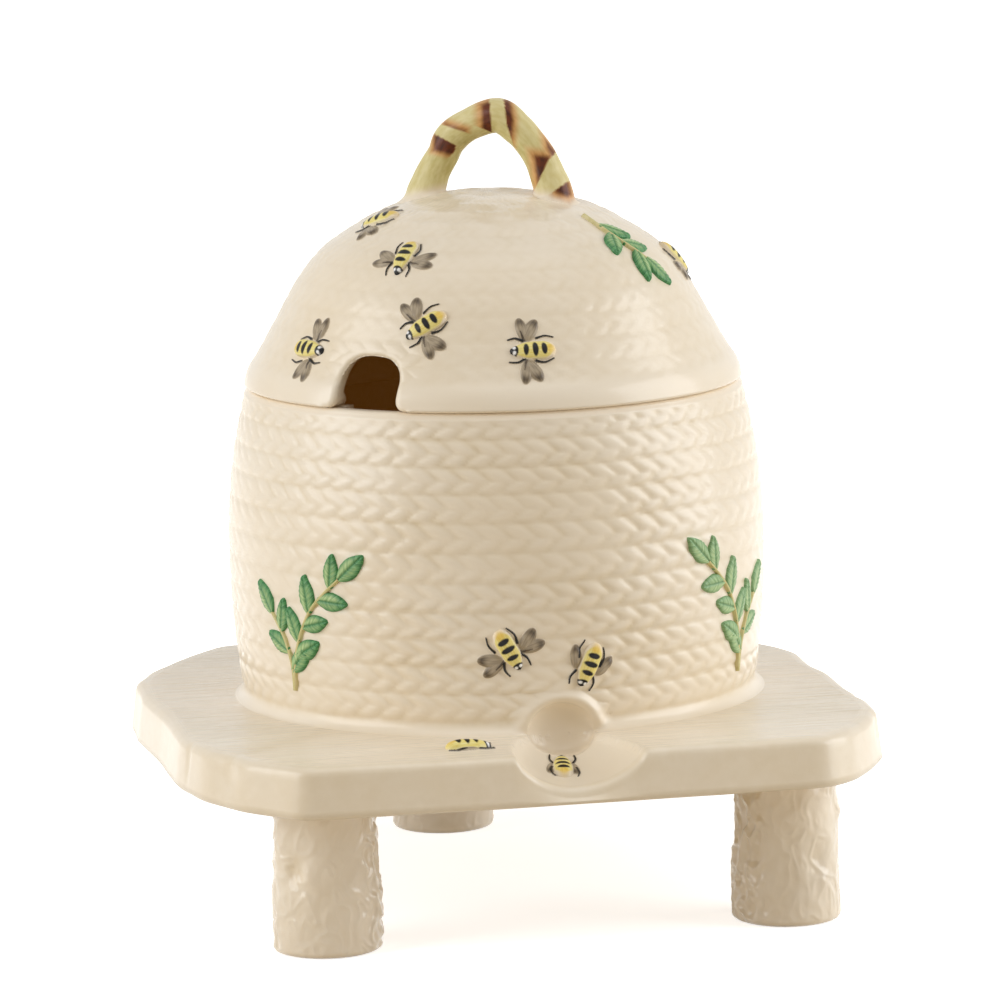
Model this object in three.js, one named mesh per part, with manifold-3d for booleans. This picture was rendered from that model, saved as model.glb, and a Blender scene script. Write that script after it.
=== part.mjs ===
// A china honey pot: a coiled hive on a three-legged slab, with a loose domed lid.
// Millimetres, +Z up. The origin is on the ground, at the middle of the slab's outline,
// and the doorway faces -Y. Bearings are in degrees from -Y towards +X, about the hive's axis.
import * as THREE from 'three';
import { mergeVertices } from 'three/addons/utils/BufferGeometryUtils.js';
import Module from 'manifold-3d';

const wasm = await Module();
wasm.setup();

// Stand
const legHeight = 31;
const legTopRadius = 10;
const legFootRadius = 11.2;
const barkRelief = 0.35;
const legFrontSpread = 47.9;
const legFrontReach = 51.8;
const legBackReach = 60.8;
const slabThickness = 10.5;
const slabWidth = 146;
const slabDepth = 152;
const slabEdgeRounding = 1.8;

// The hive stands a little right of the slab's middle and a little back from it.
const hiveX = 1.8;
const hiveY = 1;

// Pot
const potHeight = 65.1;
const footRadius = 53.4;
const bellyRadius = 56;
const bellyHeight = 32;
const mouthRadius = 51.5;
const potWall = 4;
const potFloor = 5;
const floorCornerRadius = 7;
const footBandHeight = 3.4;
const potCoils = 11;
const potCoilRelief = 0.9;
const rimRounding = 0.9;

// Doorway and doorstep
const doorOffset = 1;
const doorRadius = 6.4;
const doorDepth = 2.4;
const hoodRadius = 7.5;
const hoodTubeRadius = 1.4;
const dishOffset = -1;
const dishHalfWidth = 16.5;
// The dish runs from the slab's front edge in under the doorway.
const dishReach = slabDepth / 2 + hiveY - footRadius + hoodTubeRadius;
const dishDepth = 7;

// Lid
const domeRadius = 51.9;
const domeHeight = 40.1;
const domeWall = 4;
const rimBand = 5;
const domeCoils = 10;
const domeCoilRelief = 0.45;
const flangeDepth = 5;
const flangeWall = 3;
const flangeClearance = 0.5;
const notchWidth = 14.5;
const notchHeight = 10.4;
const notchBearing = -43;

// Handle
const handleSpan = 28;
const handleRise = 18.5;
const twigDiameter = 6.6;
const handleTurn = -30;

// Bees
const beeLength = 8.4;
const beeWidth = 3.6;
const beeRelief = 1.1;
const wingLength = 4.8;
const wingWidth = 3;
const wingRelief = 0.5;
// From the middle of the bee on the slab to the dish's side
const standBeeGap = 2.5;

// Sprigs
const leafLength = 9.4;
const leafWidth = 4.8;
const leafRelief = 0.8;
const stemWidth = 1.3;
const potSprigRise = 36;
const lidSprigRise = 25;

// The gap between a raised ornament and the surface under it
const seatGap = 0.3;
// How far a cutter runs past what it cuts
const overrun = 2;

// How finely the round shapes are faceted
const turnSegments = 48;
const legSegments = 16;
const twigSegments = 10;
const bodySegments = 8;
const lobeSegments = 6;
const stemSegments = 4;

// Heights that follow from the sizes
const slabTop = legHeight + slabThickness;
const seam = slabTop + potHeight;

const glaze = { color: 0xf2e6d0, roughness: 0.22, metalness: 0 };
const twigGlaze = { color: 0xd3c98c, roughness: 0.28, metalness: 0 };
const beeGlaze = { color: 0xe8c650, roughness: 0.28, metalness: 0 };
const leafGlaze = { color: 0x5f9f6c, roughness: 0.28, metalness: 0 };

const radians = THREE.MathUtils.degToRad;

// Solids

// Joins vertices that share a place, and drops the triangles that this closes up.
function welded(geometry) {
  const bare = geometry.clone();
  bare.deleteAttribute('normal');
  bare.deleteAttribute('uv');
  const merged = mergeVertices(bare);
  const index = merged.index.array;
  const kept = [];
  for (let i = 0; i < index.length; i += 3) {
    const [a, b, c] = index.slice(i, i + 3);
    if (a !== b && b !== c && c !== a) kept.push(a, b, c);
  }
  merged.setIndex(kept);
  return merged;
}

function toManifold(geometry) {
  const closed = welded(geometry);
  return new wasm.Manifold(new wasm.Mesh({
    numProp: 3,
    vertProperties: new Float32Array(closed.attributes.position.array),
    triVerts: new Uint32Array(closed.index.array),
  }));
}

function toGeometry(manifold) {
  const mesh = manifold.getMesh();
  const geometry = new THREE.BufferGeometry();
  geometry.setAttribute('position', new THREE.BufferAttribute(new Float32Array(mesh.vertProperties), 3));
  geometry.setIndex(new THREE.BufferAttribute(new Uint32Array(mesh.triVerts), 1));
  return geometry;
}

function cut(geometry, ...tools) {
  let body = toManifold(geometry);
  for (const tool of tools) body = body.subtract(toManifold(tool));
  return toGeometry(body);
}

function joined(geometries) {
  let body = toManifold(geometries[0]);
  for (const other of geometries.slice(1)) body = body.add(toManifold(other));
  return toGeometry(body);
}

// Skins a stack of rings of equal count, each wound anticlockwise seen from the last one,
// and closes both ends with a fan about the ring's middle.
function loft(rings) {
  const count = rings[0].length;
  const points = rings.flat();
  const index = [];
  for (let level = 0; level + 1 < rings.length; level += 1) {
    for (let i = 0; i < count; i += 1) {
      const next = (i + 1) % count;
      const low = level * count;
      const high = low + count;
      index.push(low + i, low + next, high + next, low + i, high + next, high + i);
    }
  }
  const middle = (ring) => ring.reduce((sum, p) => sum.add(p), new THREE.Vector3()).divideScalar(count);
  const first = points.push(middle(rings[0])) - 1;
  const last = points.push(middle(rings[rings.length - 1])) - 1;
  const top = (rings.length - 1) * count;
  for (let i = 0; i < count; i += 1) {
    const next = (i + 1) % count;
    index.push(first, next, i, last, top + i, top + next);
  }
  return new THREE.BufferGeometry().setFromPoints(points).setIndex(index);
}

// Turns an outline of (radius, height) points about the hive's axis.
function turned(outline) {
  const geometry = new THREE.LatheGeometry(outline, turnSegments);
  geometry.rotateX(Math.PI / 2);
  geometry.translate(hiveX, hiveY, 0);
  return geometry;
}

// Profiles of the hive, as (radius, height) curves measured over the coils' crests

const potDrop = (height) => (height < bellyHeight
  ? (bellyRadius - footRadius) * ((bellyHeight - height) / bellyHeight) ** 2
  : (bellyRadius - mouthRadius) * ((height - bellyHeight) / (potHeight - bellyHeight)) ** 2);

const potProfileShares = [0, 0.125, 0.25, 0.375, 0.5, 0.625, 0.75, 0.875, 1];
const potProfile = new THREE.SplineCurve(potProfileShares.map((share) => new THREE.Vector2(
  bellyRadius - potDrop(share * potHeight),
  slabTop + share * potHeight,
)));

// The dome's outline: shares of its radius and of its height
const domeProfileShares = [
  [1, 0], [0.985, 0.08], [0.94, 0.18], [0.86, 0.365], [0.78, 0.545], [0.68, 0.7],
  [0.55, 0.815], [0.415, 0.905], [0.264, 0.96], [0.12, 0.99], [0, 1],
];
const domeProfile = new THREE.SplineCurve(domeProfileShares.map(([across, up]) => new THREE.Vector2(
  across * domeRadius,
  seam + up * domeHeight,
)));

// A point on a profile at a distance from its foot, moved out along the normal.
function offsetPoint(profile, distance, out) {
  const share = THREE.MathUtils.clamp(distance / profile.getLength(), 0, 1);
  const point = profile.getPointAt(share);
  const tangent = profile.getTangentAt(share);
  return new THREE.Vector2(
    Math.max(point.x + tangent.y * out, 0),
    point.y - tangent.x * out,
  );
}

// Coils along a profile: a valley, then the coil's two shoulders.
const coilShoulderShares = [0.3, 0.7];
function coils(profile, start, end, count, relief) {
  const pitch = (end - start) / count;
  const outline = [];
  for (let coil = 0; coil < count; coil += 1) {
    outline.push(offsetPoint(profile, start + coil * pitch, -relief));
    for (const share of coilShoulderShares) {
      outline.push(offsetPoint(profile, start + (coil + share) * pitch, 0));
    }
  }
  outline.push(offsetPoint(profile, end, -relief));
  return outline;
}

// The crest profile as a solid, grown by a gap: what sits on the hive is cut back to it.
const envelopeShares = [0, 0.08, 0.16, 0.25, 0.35, 0.45, 0.55, 0.65, 0.75, 0.85, 0.93, 0.98];
function envelope(profile, gap) {
  const length = profile.getLength();
  const side = envelopeShares.map((share) => offsetPoint(profile, share * length, gap));
  const top = profile.getPointAt(1);
  return turned([
    new THREE.Vector2(0, side[0].y),
    ...side,
    offsetPoint(profile, length, gap),
    new THREE.Vector2(0, top.y + gap),
  ]);
}

// Pot

// Heights of the inner wall's points, and how far the floor's rounded corner has turned at each of its points
const potInnerShares = [0.9, 0.75, 0.6, 0.45, 0.3];
const cornerTurns = [0, 30, 60, 90].map(radians);
function hivePot() {
  const length = potProfile.getLength();
  const mouthInner = mouthRadius - potWall;
  const floorTop = slabTop + potFloor;
  const innerAt = (height) => bellyRadius - potDrop(height) - potWall;
  const outline = [new THREE.Vector2(0, slabTop), new THREE.Vector2(footRadius, slabTop)];
  outline.push(offsetPoint(potProfile, footBandHeight / 2, 0));
  outline.push(...coils(potProfile, footBandHeight, length - rimRounding, potCoils, potCoilRelief));
  outline.push(new THREE.Vector2(mouthRadius - rimRounding, seam));
  outline.push(new THREE.Vector2(mouthInner, seam));
  for (const share of potInnerShares) {
    outline.push(new THREE.Vector2(innerAt(share * potHeight), slabTop + share * potHeight));
  }
  const cornerTop = potFloor + floorCornerRadius;
  const cornerCentre = innerAt(cornerTop) - floorCornerRadius;
  for (const turn of cornerTurns) {
    outline.push(new THREE.Vector2(
      cornerCentre + floorCornerRadius * Math.cos(turn),
      floorTop + floorCornerRadius * (1 - Math.sin(turn)),
    ));
  }
  outline.push(new THREE.Vector2(0, floorTop));
  return cut(turned(outline), doorRecess());
}

// The blind doorway, cut into the foot of the pot and down into the slab.
function doorRecess() {
  const reach = footRadius - doorDepth;
  const length = slabDepth / 2;
  const recess = new THREE.CylinderGeometry(doorRadius, doorRadius, length, turnSegments / 2);
  recess.translate(hiveX + doorOffset, hiveY - reach - length / 2, slabTop);
  return recess;
}

// The raised arch round the doorway, standing on the slab and cut back to the pot.
function doorwayHood() {
  const front = hiveY - footRadius - hoodTubeRadius / 2;
  const ring = new THREE.TorusGeometry(hoodRadius, hoodTubeRadius, twigSegments, turnSegments / 2);
  ring.rotateX(Math.PI / 2);
  ring.translate(hiveX + doorOffset, front, slabTop);
  const reach = hoodRadius + hoodTubeRadius + overrun;
  const below = new THREE.BoxGeometry(reach * 2, reach * 2, reach);
  below.translate(hiveX + doorOffset, front, slabTop - reach / 2);
  return cut(ring, below, envelope(potProfile, seatGap));
}

// Stand

// The slab's outline from its front left corner, anticlockwise seen from above:
// shares of half its width and half its depth, with a sawn board's uneven corners
const slabOutlineShares = [
  [-0.75, -0.985], [-0.3, -1], [0.2, -1], [0.73, -0.99], [0.82, -0.92], [0.9, -0.8], [0.97, -0.66],
  [0.99, -0.5], [0.985, -0.3], [1, -0.1], [0.99, 0.1], [1, 0.28], [0.965, 0.42], [0.89, 0.55],
  [0.8, 0.7], [0.71, 0.82], [0.58, 0.92], [0.4, 0.98], [0.1, 1], [-0.3, 0.99], [-0.64, 0.94],
  [-0.75, 0.82], [-0.84, 0.7], [-0.91, 0.59], [-0.98, 0.44], [-1, 0.2], [-0.99, -0.1], [-1, -0.45],
  [-0.965, -0.65], [-0.89, -0.82],
];

function slabRing(inset, height) {
  return slabOutlineShares.map(([across, along]) => new THREE.Vector3(
    across * (slabWidth / 2 - inset),
    along * (slabDepth / 2 - inset),
    height,
  ));
}

// The dish in the slab's front edge that makes the doorstep
function dish() {
  const bowl = new THREE.SphereGeometry(1, turnSegments / 2, turnSegments / 4);
  bowl.scale(dishHalfWidth, dishReach, dishDepth);
  bowl.translate(hiveX + dishOffset, -slabDepth / 2, slabTop);
  return bowl;
}

// The surface that an ornament on the stand lies on: the slab's top, or the dish's floor
function standSurface(x, y) {
  const across = (x - hiveX - dishOffset) / dishHalfWidth;
  const along = (y + slabDepth / 2) / dishReach;
  const room = 1 - across ** 2 - along ** 2;
  return slabTop - dishDepth * Math.sqrt(Math.max(room, 0));
}

function standSlab() {
  const slab = loft([
    slabRing(slabEdgeRounding, legHeight),
    slabRing(slabEdgeRounding / 3, legHeight + slabEdgeRounding / 3),
    slabRing(0, legHeight + slabEdgeRounding),
    slabRing(0, slabTop - slabEdgeRounding),
    slabRing(slabEdgeRounding / 3, slabTop - slabEdgeRounding / 3),
    slabRing(slabEdgeRounding, slabTop),
  ]);
  return cut(slab, dish(), doorRecess());
}

// A stub of branch with the bark on: its radius swells to the foot and waves round it.
const legRingShares = [0, 0.06, 0.22, 0.38, 0.54, 0.7, 0.86, 1];
function leg(x, y, phase) {
  const rings = legRingShares.map((share) => {
    const plain = THREE.MathUtils.lerp(legFootRadius, legTopRadius, Math.min(share * 2, 1));
    const footEase = share === 0 ? barkRelief : 0;
    return Array.from({ length: legSegments }, (_, i) => {
      const turn = (i / legSegments) * Math.PI * 2;
      const bark = Math.sin(turn * 5 + phase + share * 4) + Math.sin(turn * 3 - phase + share * 11);
      const radius = plain - footEase + barkRelief * bark;
      return new THREE.Vector3(x + radius * Math.cos(turn), y + radius * Math.sin(turn), share * legHeight);
    });
  });
  return loft(rings);
}

// Lid

// Places of the inner wall's points along the dome's profile, from the crown down, and where the coils end
const domeInnerShares = [0.95, 0.86, 0.74, 0.62, 0.5, 0.38, 0.25, 0.12];
const coilEndShare = 0.86;
function lidDome() {
  const length = domeProfile.getLength();
  const flangeOuter = mouthRadius - potWall - flangeClearance;
  const flangeInner = flangeOuter - flangeWall;
  const coilEnd = length * coilEndShare;
  const outline = [
    new THREE.Vector2(0, seam + domeHeight - domeWall),
    ...domeInnerShares.map((share) => offsetPoint(domeProfile, share * length, -domeWall)),
    new THREE.Vector2(flangeInner, seam),
    new THREE.Vector2(flangeInner, seam - flangeDepth),
    new THREE.Vector2(flangeOuter, seam - flangeDepth),
    new THREE.Vector2(flangeOuter, seam),
    new THREE.Vector2(domeRadius - rimRounding, seam),
    new THREE.Vector2(domeRadius, seam + rimRounding),
    offsetPoint(domeProfile, rimBand / 2, 0),
    ...coils(domeProfile, rimBand, coilEnd, domeCoils, domeCoilRelief),
    offsetPoint(domeProfile, (coilEnd + length) / 2, 0),
    new THREE.Vector2(0, seam + domeHeight),
  ];
  return cut(turned(outline), notch());
}

// The arch-topped notch that a spoon's stem stands in, cut through the rim and the flange.
function notch() {
  const radius = notchWidth / 2;
  const arch = new THREE.Shape();
  arch.moveTo(-radius, -flangeDepth - overrun);
  arch.lineTo(radius, -flangeDepth - overrun);
  arch.lineTo(radius, notchHeight - radius);
  arch.absarc(0, notchHeight - radius, radius, 0, Math.PI, false);
  arch.lineTo(-radius, -flangeDepth - overrun);
  const depth = domeRadius / 2;
  const curveSegments = turnSegments / 4;
  const cutter = new THREE.ExtrudeGeometry(arch, { depth, bevelEnabled: false, curveSegments });
  cutter.rotateX(Math.PI / 2);
  cutter.translate(0, -domeRadius / 2, seam);
  cutter.rotateZ(radians(notchBearing));
  cutter.translate(hiveX, hiveY, 0);
  return cutter;
}

// The twig's bent middle line: shares of the span and of the rise, and of the twig's diameter
const twigShares = [
  [-0.5, -0.12, 1.5], [-0.475, 0.0, 1.28], [-0.42, 0.2, 1.05], [-0.35, 0.36, 1], [-0.28, 0.53, 1.04],
  [-0.14, 0.69, 1], [0.06, 0.81, 1.12], [0.23, 0.65, 1], [0.33, 0.49, 0.98], [0.41, 0.32, 1.04],
  [0.475, 0.12, 1.12], [0.515, -0.03, 1.24], [0.54, -0.16, 1.5],
];
function lidHandle() {
  const domeTop = seam + domeHeight;
  const middle = new THREE.CatmullRomCurve3(twigShares.map(([across, up]) => new THREE.Vector3(
    across * handleSpan,
    0,
    domeTop + up * handleRise,
  )), false, 'centripetal');
  const last = twigShares.length - 1;
  const rings = twigShares.map(([, , thick], i) => {
    const centre = middle.getPoint(i / last);
    const along = middle.getTangent(i / last);
    const side = new THREE.Vector3(0, 1, 0);
    const out = new THREE.Vector3().crossVectors(side, along);
    return Array.from({ length: twigSegments }, (_, k) => {
      const turn = (k / twigSegments) * Math.PI * 2;
      const radius = (twigDiameter * thick) / 2;
      return centre.clone()
        .addScaledVector(out, radius * Math.cos(turn))
        .addScaledVector(side, radius * Math.sin(turn));
    });
  });
  const twig = loft(rings);
  twig.rotateZ(radians(handleTurn));
  twig.translate(hiveX, hiveY, 0);
  return cut(twig, envelope(domeProfile, seatGap));
}

// Raised ornaments, made flat (x across, y up the surface, z out of it) and then laid on

// A low cushion over an outline, drawn in to its flat top.
const cushionShares = [[1, 0], [0.62, 1]];
function cushion(outline, height) {
  const centre = outline.reduce((sum, p) => sum.add(p), new THREE.Vector2()).divideScalar(outline.length);
  return loft(cushionShares.map(([spread, up]) => outline.map((p) => new THREE.Vector3(
    centre.x + (p.x - centre.x) * spread,
    centre.y + (p.y - centre.y) * spread,
    up * height,
  ))));
}

// A lobe that starts at a point and runs along a heading, widest at a share of its length.
function lobe(root, heading, length, width, widest, relief, segments) {
  const outline = Array.from({ length: segments }, (_, i) => {
    const angle = (i / segments) * Math.PI * 2;
    const along = (1 - Math.cos(angle)) / 2;
    const eased = along ** (Math.log(0.5) / Math.log(widest));
    const across = -Math.sin(angle) * (width / 2);
    return new THREE.Vector2(
      root.x + eased * length * Math.cos(heading) - across * Math.sin(heading),
      root.y + eased * length * Math.sin(heading) + across * Math.cos(heading),
    );
  });
  return cushion(outline, relief);
}

const ahead = radians(90);
const wingHeading = radians(38);
const beeWidestShare = 0.5;
const wingWidestShare = 0.6;
const wingRootShare = 0.12;
// How far in from the slab's front edge the stand's two bees are, as shares of the dish's reach
const standBeeShare = 0.58;
const stepBeeShare = 0.55;
function bee() {
  const tail = new THREE.Vector2(0, -beeLength / 2);
  const wingRoot = new THREE.Vector2(0, beeLength * wingRootShare);
  const body = lobe(tail, ahead, beeLength, beeWidth, beeWidestShare, beeRelief, bodySegments);
  const wings = [-wingHeading, Math.PI + wingHeading].map((heading) => lobe(
    wingRoot, heading, wingLength + beeWidth / 2, wingWidth, wingWidestShare, wingRelief, lobeSegments,
  ));
  return joined([body, ...wings]);
}

// Sprigs grow as bowed branches from one root, with leaves on alternate sides and one at the tip.
// Each branch has its share of the sprig's rise, its bow as a share of its own height, and its side leaves.
const potBranchShares = [[1, 0.42, 6], [0.68, -0.5, 3]];
const lidBranchShares = [[1, 0.3, 4]];
const stemBendShares = [[0, 0], [0.08, 0.35], [0.4, 0.7], [1, 1]];
const firstLeafShare = 0.28;
const leafAngle = radians(46);
const leafWidestShare = 0.45;

function branch(height, bow, leafCount) {
  const stem = new THREE.CatmullRomCurve3(stemBendShares.map(([across, up]) => new THREE.Vector3(
    across * bow * height,
    up * height,
    0,
  )));
  const heading = (share) => {
    const along = stem.getTangent(share);
    return Math.atan2(along.y, along.x);
  };
  const rings = Array.from({ length: stemSegments + 1 }, (_, i) => {
    const share = 1 - i / stemSegments;
    const centre = stem.getPoint(share);
    const side = new THREE.Vector3(-Math.sin(heading(share)), Math.cos(heading(share)), 0);
    const half = stemWidth / 2;
    return [
      centre.clone().addScaledVector(side, half),
      centre.clone().addScaledVector(side, -half),
      centre.clone().setZ(half),
    ];
  });
  const leaf = (share, angle) => {
    const root = stem.getPoint(share);
    const turn = heading(share) + angle;
    const base = new THREE.Vector2(root.x - stemWidth * Math.cos(turn), root.y - stemWidth * Math.sin(turn));
    return lobe(base, turn, leafLength, leafWidth, leafWidestShare, leafRelief, lobeSegments);
  };
  const pieces = [loft(rings), leaf(1, 0)];
  for (let i = 0; i < leafCount; i += 1) {
    const side = i % 2 === 0 ? 1 : -1;
    pieces.push(leaf(firstLeafShare + (1 - firstLeafShare) * (i / leafCount), side * leafAngle));
  }
  return pieces;
}

function sprig(rise, hand, branches) {
  return joined(branches.flatMap(([riseShare, bow, leafCount]) => branch(
    rise * riseShare - leafLength,
    hand * bow,
    leafCount,
  )));
}

// Lays a flat ornament on the hive at a bearing and a share of the profile, turned in degrees.
function laidOnHive(geometry, profile, bearing, along, turn) {
  const ornament = geometry.clone().rotateZ(radians(turn));
  const place = ornament.attributes.position;
  const start = along * profile.getLength();
  for (let i = 0; i < place.count; i += 1) {
    const surface = offsetPoint(profile, start + place.getY(i), 0);
    const raised = offsetPoint(profile, start + place.getY(i), seatGap + place.getZ(i));
    const angle = radians(bearing) + place.getX(i) / surface.x;
    place.setXYZ(i, hiveX + raised.x * Math.sin(angle), hiveY - raised.x * Math.cos(angle), raised.y);
  }
  return ornament;
}

// Lays a flat ornament on the stand, turned in degrees.
function laidOnStand(geometry, x, y, turn) {
  const ornament = geometry.clone().rotateZ(radians(turn));
  ornament.translate(x, y, 0);
  const place = ornament.attributes.position;
  for (let i = 0; i < place.count; i += 1) {
    place.setZ(i, standSurface(place.getX(i), place.getY(i)) + seatGap + place.getZ(i));
  }
  return ornament;
}

// The model

const honeyPot = new THREE.Group();
function add(name, geometry, finish) {
  const mesh = new THREE.Mesh(geometry, new THREE.MeshStandardMaterial(finish));
  mesh.name = name;
  honeyPot.add(mesh);
}

add('hive_pot', hivePot(), glaze);
add('doorway_hood', doorwayHood(), glaze);
add('stand_slab', standSlab(), glaze);
add('leg_front_left', leg(hiveX - legFrontSpread, hiveY - legFrontReach, 0), glaze);
add('leg_front_right', leg(hiveX + legFrontSpread, hiveY - legFrontReach, 2), glaze);
add('leg_back', leg(hiveX, hiveY + legBackReach, 4), glaze);
add('lid_dome', lidDome(), glaze);
add('lid_handle', lidHandle(), twigGlaze);

// Bees: name, bearing, share up the profile, and turn from head up
const potBeeShares = [
  ['bee_pot_left_of_door', -10, 0.27, -151],
  ['bee_pot_right_of_door', 7, 0.21, 158],
  ['bee_pot_back', 172, 0.62, 60],
];
const lidBeeShares = [
  ['bee_lid_near_handle', -79, 0.64, 130],
  ['bee_lid_upper', -43, 0.49, 180],
  ['bee_lid_left', -65, 0.17, -90],
  ['bee_lid_above_notch', -30, 0.265, 125],
  ['bee_lid_front', -2, 0.185, 90],
  ['bee_lid_right', 76, 0.4, -160],
  ['bee_lid_back_left', -142, 0.38, 35],
  ['bee_lid_back_right', 150, 0.27, -70],
];
for (const [name, bearing, along, turn] of potBeeShares) {
  add(name, laidOnHive(bee(), potProfile, bearing, along, turn), beeGlaze);
}
for (const [name, bearing, along, turn] of lidBeeShares) {
  add(name, laidOnHive(bee(), domeProfile, bearing, along, turn), beeGlaze);
}
const standBees = [
  ['bee_stand', hiveX + dishOffset - dishHalfWidth - standBeeGap, standBeeShare, -90],
  ['bee_doorstep', hiveX + dishOffset, stepBeeShare, 0],
];
for (const [name, x, along, turn] of standBees) {
  add(name, laidOnStand(bee(), x, along * dishReach - slabDepth / 2, turn), beeGlaze);
}

// Sprigs: name, bearing of the root, share up the profile, turn from upright, and the side they bow to
const potSprigShares = [
  ['sprig_pot_left', -62, 0.1, -8, 1],
  ['sprig_pot_right', 52, 0.1, 6, -1],
  ['sprig_pot_back_left', -150, 0.1, 4, -1],
  ['sprig_pot_back_right', 132, 0.1, -4, 1],
];
const lidSprigShares = [
  ['sprig_lid_front', 42, 0.66, 176, -1],
  ['sprig_lid_back', -176, 0.66, 170, 1],
];
for (const [name, bearing, along, turn, hand] of potSprigShares) {
  const spray = sprig(potSprigRise, hand, potBranchShares);
  add(name, laidOnHive(spray, potProfile, bearing, along, turn), leafGlaze);
}
for (const [name, bearing, along, turn, hand] of lidSprigShares) {
  const spray = sprig(lidSprigRise, hand, lidBranchShares);
  add(name, laidOnHive(spray, domeProfile, bearing, along, turn), leafGlaze);
}

export default honeyPot;
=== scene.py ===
"""A china honey pot: a coiled hive on a rustic three-legged stand, with a loose lid and a twig handle.

Sizes are in millimetres and become metres where a mesh is written. Bearings round the hive are in
degrees from the doorway side (-Y) towards +X. A run is a distance along a wall's outline, upwards.
SINK is how far a raised ornament's edge reaches into the china, MERGE how near vertices are
joined, and NOWHERE a depth so far outside that nothing is there.
"""

import logging
import math
from dataclasses import dataclass
from enum import Enum

import bpy
import numpy as np
from bpy.types import Material, Node, NodeSocket, NodeTree, Object
from mathutils import Matrix, Vector, noise


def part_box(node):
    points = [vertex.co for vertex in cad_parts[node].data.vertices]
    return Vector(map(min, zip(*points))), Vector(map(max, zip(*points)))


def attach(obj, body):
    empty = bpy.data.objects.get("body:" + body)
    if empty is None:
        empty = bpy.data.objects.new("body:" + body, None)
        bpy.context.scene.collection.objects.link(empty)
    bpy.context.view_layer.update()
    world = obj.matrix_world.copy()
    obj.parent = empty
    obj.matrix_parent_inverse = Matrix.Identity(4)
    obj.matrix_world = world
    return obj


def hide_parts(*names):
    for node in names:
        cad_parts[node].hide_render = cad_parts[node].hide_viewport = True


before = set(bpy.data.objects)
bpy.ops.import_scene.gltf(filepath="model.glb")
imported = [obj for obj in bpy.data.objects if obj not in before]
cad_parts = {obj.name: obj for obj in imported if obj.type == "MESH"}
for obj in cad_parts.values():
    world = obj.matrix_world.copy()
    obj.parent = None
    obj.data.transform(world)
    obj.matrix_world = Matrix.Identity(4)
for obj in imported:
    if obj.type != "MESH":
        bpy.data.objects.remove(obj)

Array = np.ndarray
Pair = tuple[float, float]
MM = 0.001
SINK = 0.35
MERGE = 0.002
NOWHERE = -99.0
LOG = logging.getLogger("honey_pot")


class Body(Enum):
    """The two loose parts of the honey pot."""

    POT = "pot"
    LID = "lid"


class Slot(Enum):
    """The record's material slots."""

    CREAM = "cream_glaze"
    TWIG = "twig_glaze"
    BEE = "bee_enamel"
    LEAF = "leaf_enamel"


class Wings(Enum):
    """How a bee holds its wings."""

    SPREAD = "spread"
    SWEPT = "swept"
    FOLDED = "folded"


# Small maths


def ease(value: Array, low: float, high: float) -> Array:
    """Rises smoothly from 0 at low to 1 at high; falls when high is below low."""
    share = np.clip((value - low) / (high - low), 0.0, 1.0)
    return share * share * (3 - 2 * share)


def deeper(first: Array, second: Array, softness: float | Array) -> Array:
    """The larger of two values at each point, with the crease between them rounded over a softness."""
    mix = np.clip(0.5 + 0.5 * (first - second) / softness, 0.0, 1.0)
    return second + (first - second) * mix + softness * mix * (1 - mix)


def lumps(points: Array, size: float) -> Array:
    """Smooth noise from about -1 to 1 with lumps of a size in mm, the same on every run."""
    scaled = points / size
    return np.fromiter((noise.noise(Vector(point)) for point in scaled), float, len(scaled))


def curve_through(points: list[tuple[float, ...]], steps: int) -> Array:
    """A smooth curve through points.

    Args:
        points: the points that it passes through, in order.
        steps: how many steps it has between each two of them.

    Returns:
        The curve's points, as many columns wide as the points given.
    """
    nodes = np.array([points[0], *points, points[-1]], float)
    pieces = []
    for before, start, end, after in zip(nodes, nodes[1:], nodes[2:], nodes[3:]):
        share = np.linspace(0.0, 1.0, steps, endpoint=False)[:, None]
        pieces.append(0.5 * (
            2 * start
            + (end - before) * share
            + (2 * before - 5 * start + 4 * end - after) * share**2
            + (3 * start - before - 3 * end + after) * share**3
        ))
    return np.vstack([*pieces, nodes[-1][None, :]])


def off_line(places: Array, start: Array, end: Array) -> Array:
    """How far places in a plane are from a straight line between two points.

    Args:
        places: the places, one row each.
        start: the line's first point.
        end: its last point.

    Returns:
        The distance of each place.
    """
    step = end - start
    share = np.clip((places - start) @ step / (step @ step), 0.0, 1.0)
    return np.hypot(*(places - start - share[:, None] * step).T)


def swung(flat: Array, degrees: float) -> tuple[Array, Array]:
    """Turns points in a plane anticlockwise about its origin.

    Args:
        flat: the points; only their first two columns count.
        degrees: how far they turn.

    Returns:
        The two columns after the turn.
    """
    turn = math.radians(degrees)
    east, north = math.cos(turn), math.sin(turn)
    return flat[:, 0] * east - flat[:, 1] * north, flat[:, 0] * north + flat[:, 1] * east


# Mesh helpers


def deselect_all() -> None:
    """Clears the selection, so that an operator acts on the new piece alone."""
    bpy.ops.object.select_all(action="DESELECT")


def switch_to(mode: str) -> None:
    """Switches between edit mode and object mode."""
    bpy.ops.object.mode_set(mode=mode)


def pick(obj: Object) -> None:
    """Makes one object the only selected one and the active one."""
    deselect_all()
    obj.select_set(True)
    bpy.context.view_layer.objects.active = obj


def named(obj: Object, name: str) -> Object:
    """Names an object and its mesh, and gives the object back."""
    obj.name = obj.data.name = name
    return obj


def points_of(obj: Object) -> Array:
    """An object's vertices in mm, one row each."""
    flat = np.empty(len(obj.data.vertices) * 3, np.float32)
    obj.data.vertices.foreach_get("co", flat)
    return flat.reshape(-1, 3).astype(float) / MM


def move_points(obj: Object, points: Array) -> None:
    """Moves an object's vertices to points in mm."""
    obj.data.vertices.foreach_set("co", (points * MM).astype(np.float32).ravel())
    obj.data.update()


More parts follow.
